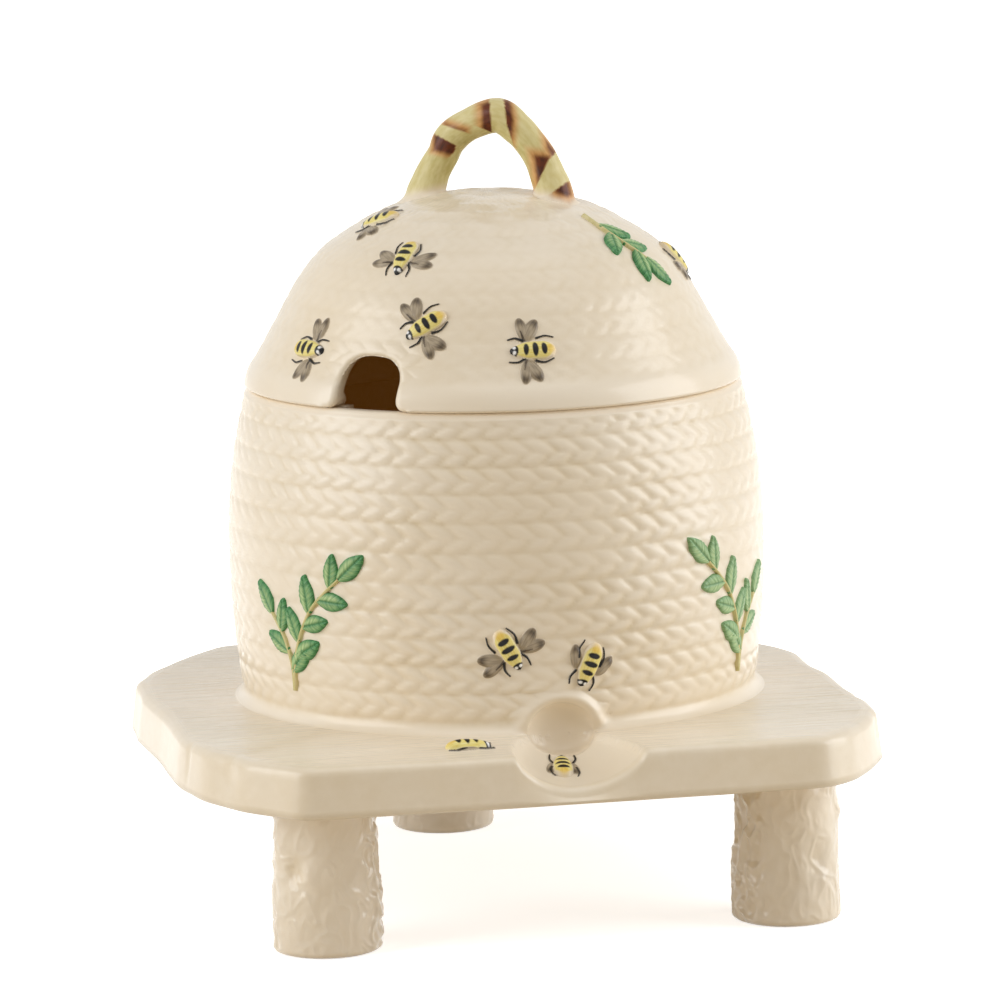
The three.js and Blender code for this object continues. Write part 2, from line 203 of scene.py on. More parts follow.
def write_values(obj: Object, name: str, values: Array) -> None:
    """Keeps a value, or a flat place of three values, for each vertex under a name that materials read."""
    kind, field = ("FLOAT", "value") if values.ndim == 1 else ("FLOAT_VECTOR", "vector")
    kept = obj.data.attributes.get(name) or obj.data.attributes.new(name, kind, "POINT")
    kept.data.foreach_set(field, values.astype(np.float32).ravel())


def read_values(obj: Object, name: str) -> Array:
    """The value of each vertex under a name."""
    values = np.empty(len(obj.data.vertices), np.float32)
    obj.data.attributes[name].data.foreach_get("value", values)
    return values.astype(float)


def select_faces(obj: Object, chosen: Array) -> None:
    """Selects the chosen faces of an object and nothing else, in edit mode.

    Args:
        obj: the object.
        chosen: whether each face is chosen.
    """
    pick(obj)
    switch_to("EDIT")
    bpy.ops.mesh.select_mode(type="FACE")
    bpy.ops.mesh.select_all(action="DESELECT")
    switch_to("OBJECT")
    obj.data.polygons.foreach_set("select", chosen.astype(bool))
    switch_to("EDIT")


def face_centres(obj: Object) -> Array:
    """The middle of each face in mm."""
    flat = np.empty(len(obj.data.polygons) * 3, np.float32)
    obj.data.polygons.foreach_get("center", flat)
    return flat.reshape(-1, 3).astype(float) / MM


def apply_modifier(obj: Object, kind: str, **settings: object) -> None:
    """Adds a modifier with its settings and applies it.

    Args:
        obj: the object.
        kind: the modifier's type.
        settings: values of its properties.
    """
    pick(obj)
    modifier = obj.modifiers.new(kind.lower(), kind)
    for name, value in settings.items():
        setattr(modifier, name, value)
    bpy.ops.object.modifier_apply(modifier=modifier.name)


def close_seams(obj: Object) -> None:
    """Merges doubled vertices and points the faces outwards.

    Args:
        obj: the object.
    """
    pick(obj)
    switch_to("EDIT")
    bpy.ops.mesh.select_all(action="SELECT")
    bpy.ops.mesh.remove_doubles(threshold=MERGE * MM)
    bpy.ops.mesh.normals_make_consistent(inside=False)
    switch_to("OBJECT")


def turned(name: str, outline: Array, tags: Array, columns: int, axis: Pair) -> Object:
    """Turns an outline round an upright axis, as on a wheel.

    Args:
        name: the new piece's name.
        outline: radius and height of each point, from one end to the other.
        tags: a value for each point, kept on its whole ring as "row".
        columns: steps in the full turn.
        axis: where the axis stands.

    Returns:
        The turned piece, closed round the axis.
    """
    deselect_all()
    bpy.ops.mesh.primitive_circle_add(vertices=len(outline), radius=MM)
    obj = named(bpy.context.object, name)
    move_points(obj, np.column_stack([outline[:, 0], np.zeros(len(outline)), outline[:, 1]]))
    write_values(obj, "row", tags)
    switch_to("EDIT")
    bpy.ops.mesh.select_mode(type="EDGE")
    bpy.ops.mesh.select_all(action="DESELECT")
    switch_to("OBJECT")
    ends = {0, len(outline) - 1}
    for edge in obj.data.edges:
        edge.select = set(edge.vertices) == ends
    switch_to("EDIT")
    bpy.ops.mesh.delete(type="EDGE")
    switch_to("OBJECT")
    apply_modifier(
        obj, "SCREW", steps=columns, render_steps=columns, use_merge_vertices=True,
        merge_threshold=MERGE / 2 * MM,
    )
    close_seams(obj)
    move_points(obj, points_of(obj) + np.array([*axis, 0.0]))
    return obj


def flat_sheet(name: str, across: int, along: int) -> tuple[Object, Array, Array]:
    """A flat grid whose vertices run from -1 to 1 both ways.

    Args:
        name: the new piece's name.
        across: steps across it.
        along: steps along it.

    Returns:
        The sheet, and the across and along value of each vertex.
    """
    deselect_all()
    bpy.ops.mesh.primitive_grid_add(x_subdivisions=across, y_subdivisions=along, size=2 * MM)
    obj = named(bpy.context.object, name)
    places = points_of(obj)
    return obj, places[:, 0], places[:, 1]


def joined(pieces: list[Object], name: str) -> Object:
    """Joins pieces into one and names it.

    Args:
        pieces: the pieces.
        name: the new name.

    Returns:
        The joined piece.
    """
    deselect_all()
    for piece in pieces:
        piece.select_set(True)
    bpy.context.view_layer.objects.active = pieces[0]
    bpy.ops.object.join()
    return named(pieces[0], name)


def copy_of(master: Object, name: str) -> Object:
    """A copy of a piece with its own mesh."""
    pick(master)
    bpy.ops.object.duplicate(linked=False)
    return named(bpy.context.object, name)


def hand_over(obj: Object, material: Material, body: Body, slot: Slot, *nodes: str) -> None:
    """Dresses a finished piece and puts it in the place of its CAD nodes.

    Args:
        obj: the finished piece.
        material: its finish.
        body: the loose part that it belongs to.
        slot: the record's slot of its finish; not used.
        nodes: the CAD nodes that it stands for.
    """
    pick(obj)
    bpy.ops.object.shade_smooth()
    obj.data.materials.clear()
    obj.data.materials.append(material)
    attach(obj, body.value)
    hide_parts(*nodes)
    LOG.info("%s: %d faces", obj.name, len(obj.data.polygons))


# Walls of the hive: an outline turned round the hive's axis, with a carved relief


@dataclass(frozen=True)
class Hive:
    """Where the hive stands, in mm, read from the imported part."""

    x: float
    y: float
    slab_top: float
    seam: float
    crown: float

    @classmethod
    def from_frame(cls) -> "Hive":
        """Reads the hive's axis and heights from the CAD nodes' boxes."""
        low, high = (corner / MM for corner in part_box("hive_pot"))
        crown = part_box("lid_dome")[1].z / MM
        return cls((low.x + high.x) / 2, (low.y + high.y) / 2, low.z, high.z, crown)

    def bearing(self, points: Array) -> Array:
        """The bearing of each point in radians."""
        return np.arctan2(points[:, 0] - self.x, self.y - points[:, 1])

    def reach(self, points: Array) -> Array:
        """How far each point is from the hive's axis."""
        return np.hypot(points[:, 0] - self.x, points[:, 1] - self.y)

    def around(self, bearing: Array, radius: Array, height: Array) -> Array:
        """Points at bearings, radii and heights."""
        return np.column_stack(
            [self.x + radius * np.sin(bearing), self.y - radius * np.cos(bearing), height]
        )


@dataclass(frozen=True)
class Plait:
    """Rows of plaited straw pressed into a wall."""

    valleys: tuple[float, ...]
    strands: int
    coil_depth: float
    strand_depth: float
    upper_length: float = 0.75
    lower_length: float = 0.6
    upper_lean: float = 1.0
    lower_lean: float = 0.66
    stagger: float = 0.43
    row_shift: float = 0.37
    worn_patch: float = 15.0
    worn_share: float = 0.55
    smoothed: tuple[tuple[float, float, float], ...] = ()
    smoothed_share: float = 0.7
    foot_span: float = 2.6
    mean_radius: float = 55.0
    valley_power: int = 4
    crease: float = 0.1
    narrowing: float = 0.4
    root_fade: float = 0.5
    roundness: float = 2.2
    wear: Pair = (0.5, 0.9)
    patch_squash: float = 1.6

    def petals(self, phase: Array, tip: Array) -> Array:
        """The height of the ends of straw that show along one edge of a row.

        Args:
            phase: place along the row, one whole number to each end of straw.
            tip: 0 at the row's edge and 1 at the pointed tips.

        Returns:
            Heights from 0 in the creases to 1 on the crests.
        """
        across = np.abs(2 * (phase - np.floor(phase)) - 1)
        width = 1 - self.narrowing * ease(tip, 0.45, 1.0)
        root = 1 - self.root_fade * ease(tip, 0.25, 0.0)
        crest = np.maximum(1 - (across / width) ** self.roundness, 0.0)
        return root * ease(tip, 1.05, 0.55) * crest

    def relief(self, bearing: Array, run: Array) -> Array:
        """How far the surface lies under the crests.

        Args:
            bearing: bearings in radians.
            run: run of each point up the wall.

        Returns:
            Zero or a negative depth at each point.
        """
        edges = np.array(self.valleys)
        row = np.clip(np.searchsorted(edges, run, side="right") - 1, 0, len(edges) - 2)
        rise = np.clip((run - edges[row]) / (edges[row + 1] - edges[row]), 0.0, 1.0)
        inside = (run >= edges[0]) & (run <= edges[-1])
        coil = np.abs(2 * rise - 1) ** self.valley_power
        phase = bearing / math.tau * self.strands + self.row_shift * row
        upper_tip, lower_tip = (1 - rise) / self.upper_length, rise / self.lower_length
        upper = self.petals(phase + self.upper_lean * (1 - upper_tip), upper_tip)
        lower = self.petals(phase + self.stagger + self.lower_lean * (1 - lower_tip), lower_tip)
        swell = deeper(upper, lower, self.crease)
        east, south = np.sin(bearing) * self.mean_radius, np.cos(bearing) * self.mean_radius
        patches = np.column_stack([east, south, run * self.patch_squash])
        even, uneven = self.wear
        crisp = 1 - self.worn_share * (even + uneven * lumps(patches, self.worn_patch))
        for middle, height, size in self.smoothed:
            turn = (bearing - math.radians(middle) + math.pi) % math.tau - math.pi
            away = np.hypot(turn * self.mean_radius, run - height) / size
            crisp = crisp * (1 - self.smoothed_share * np.exp(-(away**2)))
        depth = self.coil_depth * coil + self.strand_depth * crisp * (1 - swell)
        foot = edges[0]
        below = (self.coil_depth + 0.5 * self.strand_depth) * ease(run, foot - self.foot_span, foot)
        return -np.where(inside, depth, np.where(run < foot, below, 0.0))


class Wall:
    """A turned wall: its outline from the foot up, and the relief on it."""

    wave_depth = 0.12
    wave_size = 21.0
    bridge = 0.4
    skin = 0.3

    def __init__(self, hive: Hive, outline: Array, plait: Plait) -> None:
        """Measures the outline.

        Args:
            hive: where the hive stands.
            outline: radius and height of each point, from the foot up.
            plait: the relief on it.
        """
        self.hive = hive
        self.outline = outline
        self.plait = plait
        steps = np.hypot(*np.diff(outline, axis=0).T)
        self.runs = np.concatenate([[0.0], np.cumsum(steps)])
        slope = np.gradient(outline, self.runs, axis=0)
        self.normals = np.column_stack([slope[:, 1], -slope[:, 0]])
        self.normals /= np.hypot(*self.normals.T)[:, None]

    @property
    def length(self) -> float:
        """The whole run from the foot to the top."""
        return float(self.runs[-1])

    def along(self, run: Array) -> Array:
        """Radius, height and outward normal of each run, in four columns."""
        known = np.column_stack([self.outline, self.normals])
        return np.column_stack([np.interp(run, self.runs, column) for column in known.T])

    def run_at_height(self, height: float) -> float:
        """The run at a height."""
        return float(np.interp(height, self.outline[:, 1], self.runs))

    def run_of(self, points: Array) -> tuple[Array, Array]:
        """Finds each point's run, by its height on the side and by its radius near the top.

        Args:
            points: points anywhere.

        Returns:
            The runs, and whether each point lies on this wall.
        """
        reach = self.hive.reach(points)
        by_height = np.interp(points[:, 2], self.outline[:, 1], self.runs)
        by_radius = np.interp(-reach, -self.outline[:, 0], self.runs)
        run = np.where(reach < self.outline[0, 0] / 2, by_radius, by_height)
        radius, height = self.along(run)[:, :2].T
        return run, np.hypot(reach - radius, points[:, 2] - height) < self.skin

    def place(self, bearing: Array, run: Array, out: Array) -> Array:
        """Points on the wall at bearings in radians and runs, moved out along its normal."""
        radius, height, across, up = self.along(run).T
        return self.hive.around(bearing, np.maximum(radius + across * out, 0.0), height + up * out)

    def ground(self, bearing: Array, run: Array) -> Array:
        """How far the carved surface lies under the wall's outline; zero or less.

        Args:
            bearing: bearings in radians.
            run: run of each point.

        Returns:
            The depths.
        """
        points = self.place(bearing, run, np.zeros(len(run)))
        wave = np.minimum(self.wave_depth * lumps(points, self.wave_size), 0.0)
        return self.plait.relief(bearing, run) + wave

    def lay(self, flat: Array, spot: "WallSpot") -> Array:
        """Lays an ornament on the wall; its thin parts follow the relief and its thick ones bridge it.

        Args:
            flat: the ornament's points: across, up and out of its own plane.
            spot: where it goes.

        Returns:
            The points on the wall.
        """
        across, up = swung(flat, spot.turn)
        run = spot.run_share * self.length + up
        bearing = math.radians(spot.bearing) + across / self.along(run)[:, 0]
        follow = 1 - np.clip(flat[:, 2] / self.bridge, 0.0, 1.0)
        return self.place(bearing, run, flat[:, 2] + follow * self.ground(bearing, run))


class DomeWall(Wall):
    """The lid's wall, with a plain rim and swirled straw round its crown."""

    wave_depth = 0.15
    wave_size = 25.0
    swirl_size = 4.2
    swirl_depth = 0.3
    swirl_span = (34.0, 22.0)
    crown_span = 8.0
    swirl_squash = 1.6
    swirl_crest = 0.25
    rim_fade = 2.0

    def ground(self, bearing: Array, run: Array) -> Array:
        """How far the pressed surface lies under the dome's outline; zero or less.

        Args:
            bearing: bearings in radians.
            run: run of each point.

        Returns:
            The depths.
        """
        points = self.place(bearing, run, np.zeros(len(run)))
        start, end = (self.length - span for span in self.swirl_span)
        squashed = points * np.array([1.0, 1.0, self.swirl_squash])
        swirl = lumps(squashed, self.swirl_size) * ease(run, start, end)
        swirl *= ease(run, self.length, self.length - self.crown_span)
        pressed = np.minimum(swirl, self.swirl_crest) - self.swirl_crest
        ground = super().ground(bearing, run) + self.swirl_depth * pressed
        rim = self.plait.valleys[0]
        return ground * ease(run, rim, rim + self.rim_fade)


# The doorway, which the pot and the slab share


@dataclass(frozen=True)
class Doorway:
    """A blind round doorway in the pot's foot, and the dish in the slab that leads up to it."""

    x: float
    y: float
    sill: float
    front: float
    half_width: float = 6.8
    rise: float = 6.1
    reach: float = 3.0
    floor_depth: float = 4.5
    lip: float = 0.85
    lip_width_share: float = 0.19
    dish_offset: float = -2.0
    dish_left: float = 12.0
    dish_right: float = 14.5
    dish_reach: float = 25.0
    dish_depth: float = 7.0
    left_softness: float = 1.6
    softening: float = 2.6
    wall_softness: float = 1.5
    edge_softness: float = 1.1
    dish_power: float = 0.72
    front_stretch: float = 1.9
    hood_front: float = 0.9
    lip_base: float = 0.62
    lip_swing: float = 0.38
    lip_heading: float = 50.0

    @classmethod
    def from_frame(cls, hive: Hive) -> "Doorway":
        """Reads the doorway's middle from the CAD hood and the slab's front edge."""
        low, high = (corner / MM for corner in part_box("doorway_hood"))
        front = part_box("stand_slab")[0].y / MM
        return cls((low.x + high.x) / 2, high.y - cls.hood_front, hive.slab_top, front)

    def spread(self, points: Array) -> Array:
        """How far each point is from the doorway's middle, as seen from the front; 1 is its edge.

        Args:
            points: points on the pot.

        Returns:
            The shares; 9 behind the pot's middle.
        """
        across = (points[:, 0] - self.x) / self.half_width
        up = points[:, 2] - self.sill
        up = up / np.where(up > 0, self.rise, self.floor_depth)
        return np.where(points[:, 1] < 0, np.hypot(across, up), 9.0)

    def lip_height(self, points: Array) -> Array:
        """The raised lip round the doorway, strongest at its top right.

        Args:
            points: points on the pot.

        Returns:
            How far each point moves out.
        """
        spread = self.spread(points)
        angle = np.arctan2(points[:, 2] - self.sill, points[:, 0] - self.x)
        strength = self.lip_base + self.lip_swing * np.cos(angle - math.radians(self.lip_heading))
        ridge = np.exp(-(((spread - 1 - self.lip_width_share) / self.lip_width_share) ** 2))
        return self.lip * strength * ridge * ease(points[:, 2] - self.sill, -0.5, 2.5)

    def hollowed(self, points: Array) -> Array:
        """Pushes the pot's wall back where the doorway is.

        Args:
            points: points on the pot's outer wall.

        Returns:
            The points, moved back on to the hollow's round wall.
        """
        spread = self.spread(points)
        room = 1 - spread**2
        back = self.y + self.reach * np.sign(room) * np.sqrt(np.abs(room))
        back = np.where(spread < 2, back, points[:, 1] - 9)
        moved = points.copy()
        moved[:, 1] = deeper(points[:, 1], back, self.wall_softness)
        return moved

    def floor(self, x: Array, y: Array) -> Array:
        """The height of the slab's top, with the dish and the hollow's floor.

        Args:
            x: places to the right.
            y: places to the back.

        Returns:
            The heights.
        """
        across = x - self.x - self.dish_offset
        side = np.where(across < 0, self.dish_left, self.dish_right)
        dish_room = 1 - (across / side) ** 2 - ((y - self.front) / self.dish_reach) ** 2
        dish = self.dish_depth * np.sign(dish_room) * np.abs(dish_room) ** self.dish_power
        across, deep = (x - self.x) / self.half_width, (y - self.y) / self.reach
        hollow_room = 1 - across**2 - np.where(deep > 0, deep, deep / self.front_stretch) ** 2
        hollow = self.floor_depth * np.sign(hollow_room) * np.sqrt(np.abs(hollow_room))
        softness = self.left_softness + self.softening * ease(x, self.x - 5, self.x + 4)
        depth = deeper(dish, np.where(y < 0, hollow, -9.0), softness)
        return self.sill - deeper(depth, np.zeros_like(depth), self.edge_softness)


@dataclass
class Pot:
    """The hollow coiled pot, open at the top."""

    hive: Hive
    doorway: Doorway
    foot_radius: float = 53.4
    belly_radius: float = 56.0
    belly_height: float = 32.0
    mouth_radius: float = 51.5
    wall: float = 4.0
    floor: float = 5.0
    floor_corner: float = 7.0
    rim_round: float = 1.3
    fillet: float = 2.5
    fillet_sink: float = 0.03
    root: float = 4.0
    coil_heights: tuple[float, ...] = (
        3.0, 8.4, 14.2, 19.7, 25.3, 31.3, 37.4, 43.4, 49.2, 54.5, 60.0, 65.1,
    )
    strands: int = 64
    coil_depth: float = 0.15
    strand_depth: float = 0.48
    smoothed: tuple[tuple[float, float, float], ...] = (
        (-64, 18, 17), (54, 20, 17), (-150, 20, 16), (132, 20, 16), (-88, 46, 24), (68, 48, 22),
    )
    columns: int = 576
    coil_rows: int = 10
    carve_room: float = 3.6
    lip_span: Pair = (1.15, 1.7)
    fillet_span: Pair = (6.5, 10.5)
    # strength of the crease tint: partly pooled glaze, partly painted shade
    pooling_and_shade: Pair = (1.3, 0.15)

    def __post_init__(self) -> None:
        """Measures the outer wall."""
        self.height = self.hive.seam - self.hive.slab_top
        heights = np.linspace(0.0, self.height, 120)
        outline = np.column_stack([self.crest_radius(heights), self.hive.slab_top + heights])
        bare = Wall(self.hive, outline, Plait((0.0, 1.0), 1, 0.0, 0.0))
        valleys = tuple(bare.run_at_height(self.hive.slab_top + up) for up in self.coil_heights)
        self.plait = Plait(
            valleys, self.strands, self.coil_depth, self.strand_depth, smoothed=self.smoothed
        )
        self.outer = Wall(self.hive, outline, self.plait)

    def crest_radius(self, height: Array) -> Array:
        """The wall's radius at heights above the slab.

        Args:
            height: the heights.

        Returns:
            The radii of the straw's crests.
        """
        below = (self.belly_radius - self.foot_radius) * (1 - height / self.belly_height) ** 2
        over = (height - self.belly_height) / (self.height - self.belly_height)
        above = (self.belly_radius - self.mouth_radius) * over**2
        return self.belly_radius - np.where(height < self.belly_height, below, above)

    def outline(self) -> tuple[Array, Array]:
        """The section from under the foot, up the outside, over the rim and down to the floor.

        Returns:
            Radius and height of each point, and its tag: its run on the outer wall, its height
            under the slab's top, or -9 round the rim and inside.
        """
        base = self.hive.slab_top
        cove = self.fillet * (1 - np.cos(np.linspace(0, math.pi / 2, 12)))
        heights = [-self.root, -self.root / 2, *cove]
        for start, end in zip(self.coil_heights, self.coil_heights[1:]):
            heights.extend(np.linspace(start, end, self.coil_rows, endpoint=False))
        top = self.height - self.rim_round
        heights = np.array([*(height for height in heights if height < top), top])
        outside = np.column_stack([self.crest_radius(np.maximum(heights, 0)), base + heights])
        runs = np.interp(heights, self.outer.outline[:, 1] - base, self.outer.runs)
        turn = np.radians(np.linspace(15, 90, 6))[:, None]
        corner = np.array([[self.mouth_radius - self.rim_round, base + top]])
        rim_out = corner + self.rim_round * np.hstack([np.cos(turn), np.sin(turn)])
        corner = np.array([[self.mouth_radius - self.wall + self.rim_round, base + top]])
        rim_in = corner + self.rim_round * np.hstack([-np.cos(turn), np.sin(turn)])[::-1]
        down = np.linspace(top - 2, self.floor + self.floor_corner, 14)
        inside = np.column_stack([self.crest_radius(down) - self.wall, base + down])
        middle = inside[-1, 0] - self.floor_corner
        turn = np.radians(np.linspace(0, 90, 7))[1:, None]
        corner = np.array([[middle, inside[-1, 1]]])
        bend = corner + self.floor_corner * np.hstack([np.cos(turn), -np.sin(turn)])
        floor = np.array([[radius, bend[-1, 1]] for radius in (middle * 0.66, middle * 0.33, 0.0)])
        rest = np.vstack([rim_out, rim_in, inside, bend, floor])
        tags = np.concatenate([np.where(heights < 0, heights, runs), np.full(len(rest), -9.0)])
        return np.vstack([outside, rest]), tags

    def build(self, material: Material) -> None:
        """Turns, carves and hollows the pot.

        Args:
            material: the glazed china.
        """
        section, tags = self.outline()
        pot = turned("coiled_pot", section, tags, self.columns, (self.hive.x, self.hive.y))
        near = face_centres(pot)
        room = self.carve_room
        at_door = np.abs(near[:, 0] - self.doorway.x) < self.doorway.half_width + room
        at_door &= near[:, 2] < self.doorway.sill + self.doorway.rise + room
        at_door &= (near[:, 1] < 0) & (self.hive.reach(near) > self.foot_radius - 1)
        select_faces(pot, at_door)
        bpy.ops.mesh.subdivide(number_cuts=2)
        switch_to("OBJECT")
        points = points_of(pot)
        run = read_values(pot, "row")
        outer = run > -self.root - 1
        bearing = self.hive.bearing(points)
        spread = self.doorway.spread(points)
        top = self.outer.length - self.rim_round
        relief = self.outer.ground(bearing, run) * ease(run, top, top - 1.2)
        relief *= ease(spread, *self.lip_span)
        foot = np.clip(points[:, 2] - self.hive.slab_top + self.fillet_sink, 0.0, self.fillet)
        flare = self.fillet - np.sqrt(self.fillet**2 - (self.fillet - foot) ** 2)
        beside = np.where(points[:, 1] < 0, np.abs(points[:, 0] - self.doorway.x), 99)
        flare *= ease(beside, *self.fillet_span)
        radius, height = self.hive.reach(points), points[:, 2]
        out = relief + flare + self.doorway.lip_height(points)
        carved = self.doorway.hollowed(self.hive.around(bearing, radius + out, height))
        move_points(pot, np.where(outer[:, None], carved, points))
        depth = self.coil_depth + self.strand_depth
        gain, start = self.pooling_and_shade
        # darker in the straw's creases: partly pooled glaze, partly painted shade
        pooled_glaze_and_shade = np.clip(-gain * relief / depth - start, 0, 1)
        write_values(pot, "hollow", np.where(outer, pooled_glaze_and_shade, 0.0))
        # marks the inner faces, which get a faint painted amber glow
        write_values(pot, "inside", (run < -self.root - 1).astype(float))
        hand_over(pot, material, Body.POT, Slot.CREAM, "hive_pot", "doorway_hood")


@dataclass
class Slab:
    """The thick slab of the stand, shaped like a rough-sawn board with worn corners."""

    hive: Hive
    doorway: Doorway
    columns: int = 720
    side_rows: int = 12
    top_rows: int = 74
    draft: float = 1.0
    rounding: float = 1.9
    foot_rounding: float = 0.9
    hidden_radius: float = 44.0
    corner_wear: float = 2.2
    saw_depth: float = 0.16
    saw_pitch: float = 7.0
    saw_stretch: float = 0.35
    saw_level: float = 0.6
    saw_start: Pair = (56.5, 64.0)
    # painted shade: darkens the whole of the board's sides below its top
    painted_side_shade: float = 0.35
    edge_reach: float = 75.0
    uneven_depth: float = 0.35
    uneven_size: float = 9.0
    straight_share: float = 0.55
    curl_share: float = 0.45
    top_edge_share: float = 0.04
    under_tuck: float = 4.0
    grooves: tuple[tuple[float, float, float], ...] = (
        (-61.0, 0.4, 0.7), (-50.0, 0.75, 3.0), (52.0, 0.5, 2.0), (64.0, 0.6, 2.2),
    )
    outline_shares: tuple[Pair, ...] = (
        (-0.75, -0.985), (-0.3, -1.0), (0.2, -1.0), (0.73, -0.99), (0.82, -0.92), (0.9, -0.8),
        (0.97, -0.66), (0.99, -0.5), (0.985, -0.3), (1.0, -0.1), (0.99, 0.1), (1.0, 0.28),
        (0.965, 0.42), (0.89, 0.55), (0.8, 0.7), (0.71, 0.82), (0.58, 0.92), (0.4, 0.98), (0.1, 1.0),
        (-0.3, 0.99), (-0.64, 0.94), (-0.75, 0.82), (-0.84, 0.7), (-0.91, 0.59), (-0.98, 0.44),
        (-1.0, 0.2), (-0.99, -0.1), (-1.0, -0.45), (-0.965, -0.65), (-0.89, -0.82),
    )

    def edge_radius(self, bearing: Array) -> Array:
        """How far the slab's edge is from the hive's axis at each bearing.

        Args:
            bearing: bearings in radians.

        Returns:
            The distances, with the board's corners worn round.
        """
        low, high = (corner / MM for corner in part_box("stand_slab"))
        half = np.array([(high.x - low.x) / 2, (high.y - low.y) / 2])
        corners = np.array([*self.outline_shares, self.outline_shares[0]]) * half
        steps = np.linspace(0, 1, 40, endpoint=False)[:, None]
        line = np.vstack([a + (b - a) * steps for a, b in zip(corners, corners[1:])])
        points = np.column_stack([line, np.zeros(len(line))])
        turn = self.hive.bearing(points)
        order = np.argsort(turn)
        even = np.linspace(-math.pi, math.pi, 1440, endpoint=False)
        far = np.interp(even, turn[order], self.hive.reach(points)[order], period=math.tau)
        span = int(self.corner_wear / self.edge_reach / math.tau * len(even) * 2) * 2 + 1
        window = np.hanning(span + 2)
        round_trip = np.concatenate([far[-span:], far, far[:span]])
        worn = np.convolve(round_trip, window / window.sum(), "same")
        return np.interp(bearing, even, worn[span:-span], period=math.tau)

    def board(self, x: Array, y: Array) -> Array:
        """The height of the board's top, with its dish and its saw marks.

        Args:
            x: places to the right.
            y: places to the back.

        Returns:
            The heights.
        """
        places = np.column_stack([x * self.saw_stretch, y, np.zeros(len(x))])
        marks = self.saw_depth * (lumps(places, self.saw_pitch) - self.saw_level)
        near, far = self.saw_start
        clear = ease(np.hypot(x - self.hive.x, y - self.hive.y), near, far)
        return self.doorway.floor(x, y) + marks * clear

    def lay(self, flat: Array, spot: "BoardSpot") -> Array:
        """Lays an ornament on the slab's top.

        Args:
            flat: the ornament's points: across, along and out of its own plane.
            spot: where it goes.

        Returns:
            The points on the slab.
        """
        across, along = swung(flat, spot.turn)
        x, y = spot.x + across, spot.y + along
        return np.column_stack([x, y, self.board(x, y) + flat[:, 2]])

    def build(self, material: Material) -> None:
        """Turns the board, sets it to its outline and carves its top.

        Args:
            material: the glazed china.
        """
        top = self.side_rows + self.top_rows
        tags = np.arange(-3, top + 2, dtype=float)
        section = np.column_stack([np.full(len(tags), self.hidden_radius), tags])
        section[[0, -1], 0] = 0.0
        slab = turned("stand_slab_top", section, tags, self.columns, (self.hive.x, self.hive.y))
        points = points_of(slab)
        row = read_values(slab, "row")
        bearing = self.hive.bearing(points)
        edge = self.edge_radius(bearing)
        groove = np.zeros(len(points))
        for middle, depth, width in self.grooves:
            away = (np.degrees(bearing) - middle) * math.radians(1) * self.edge_reach
            groove += depth * np.exp(-((away / width) ** 2))
        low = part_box("stand_slab")[0].z / MM
        share = np.clip(row / self.side_rows, 0.0, 1.0)
        groove *= ease(share, 0.0, 0.4)
        over = np.clip((row - self.side_rows) / self.top_rows, 0.0, 1.0)
        straight_share = self.straight_share
        turn = np.clip((share - straight_share) / self.curl_share, 0.0, 1.0) * math.pi / 2
        climb = np.clip(share / straight_share, 0.0, 1.0)
        inset = self.draft * climb + self.rounding * (1 - np.cos(turn))
        shelf = self.draft + self.rounding
        upright = np.column_stack([points[:, :2], points[:, 2] * 0.2])
        uneven = self.uneven_depth * lumps(upright, self.uneven_size)
        radius = edge - inset - (groove + np.maximum(uneven, 0.0)) * (1 - over)
        radius = radius - (edge - shelf - self.hidden_radius) * over
        inward = self.hive.around(bearing, radius, points[:, 2])
        board = self.board(inward[:, 0], inward[:, 1])
        drop = self.rounding * (1 - np.sin(turn))
        straight = low + self.foot_rounding
        side_top = board - self.rounding
        height = straight + (side_top - straight) * climb
        height = np.where(share > straight_share, board - drop, height)
        under = row < 0
        tuck = np.where(row <= -2, self.under_tuck, np.where(under, self.foot_rounding * 0.8, 0.0))
        height = np.where(under, np.where(row <= -2, low, low + self.foot_rounding * 0.25), height)
        height = np.where(row == 0, straight, height)
        radius = np.where(under, radius - tuck, radius)
        ends = (row <= -3) | (row >= top + 1)
        radius = np.where(ends, 0.0, radius)
        move_points(slab, self.hive.around(bearing, radius, height))
        on_top = ease(over, 0.0, self.top_edge_share)
        # darker in the grooves (pooled glaze and painted shade) and on the sides (painted shade)
        hollow = np.clip(groove / 1.5, 0.0, 1.0) * (1 - over)
        write_values(slab, "hollow", np.maximum(hollow, self.painted_side_shade * (1 - on_top)))
        flat_top = ease(board, self.hive.slab_top - 2, self.hive.slab_top)
        write_values(slab, "combed", on_top * flat_top)
        close_seams(slab)
        hand_over(slab, material, Body.POT, Slot.CREAM, "stand_slab")


@dataclass(frozen=True)
class Mark:
    """A hollow (or, below zero, a bump) in a leg's bark: where it is, its size and its depth."""

    bearing: float
    up_share: float
    size: float
    depth: float


@dataclass(frozen=True)
class RoughSide:
    """A side of a leg where the bark is cast rough: its bearing and half width in degrees, its strength."""

    bearing: float
    half_width: float
    strength: float


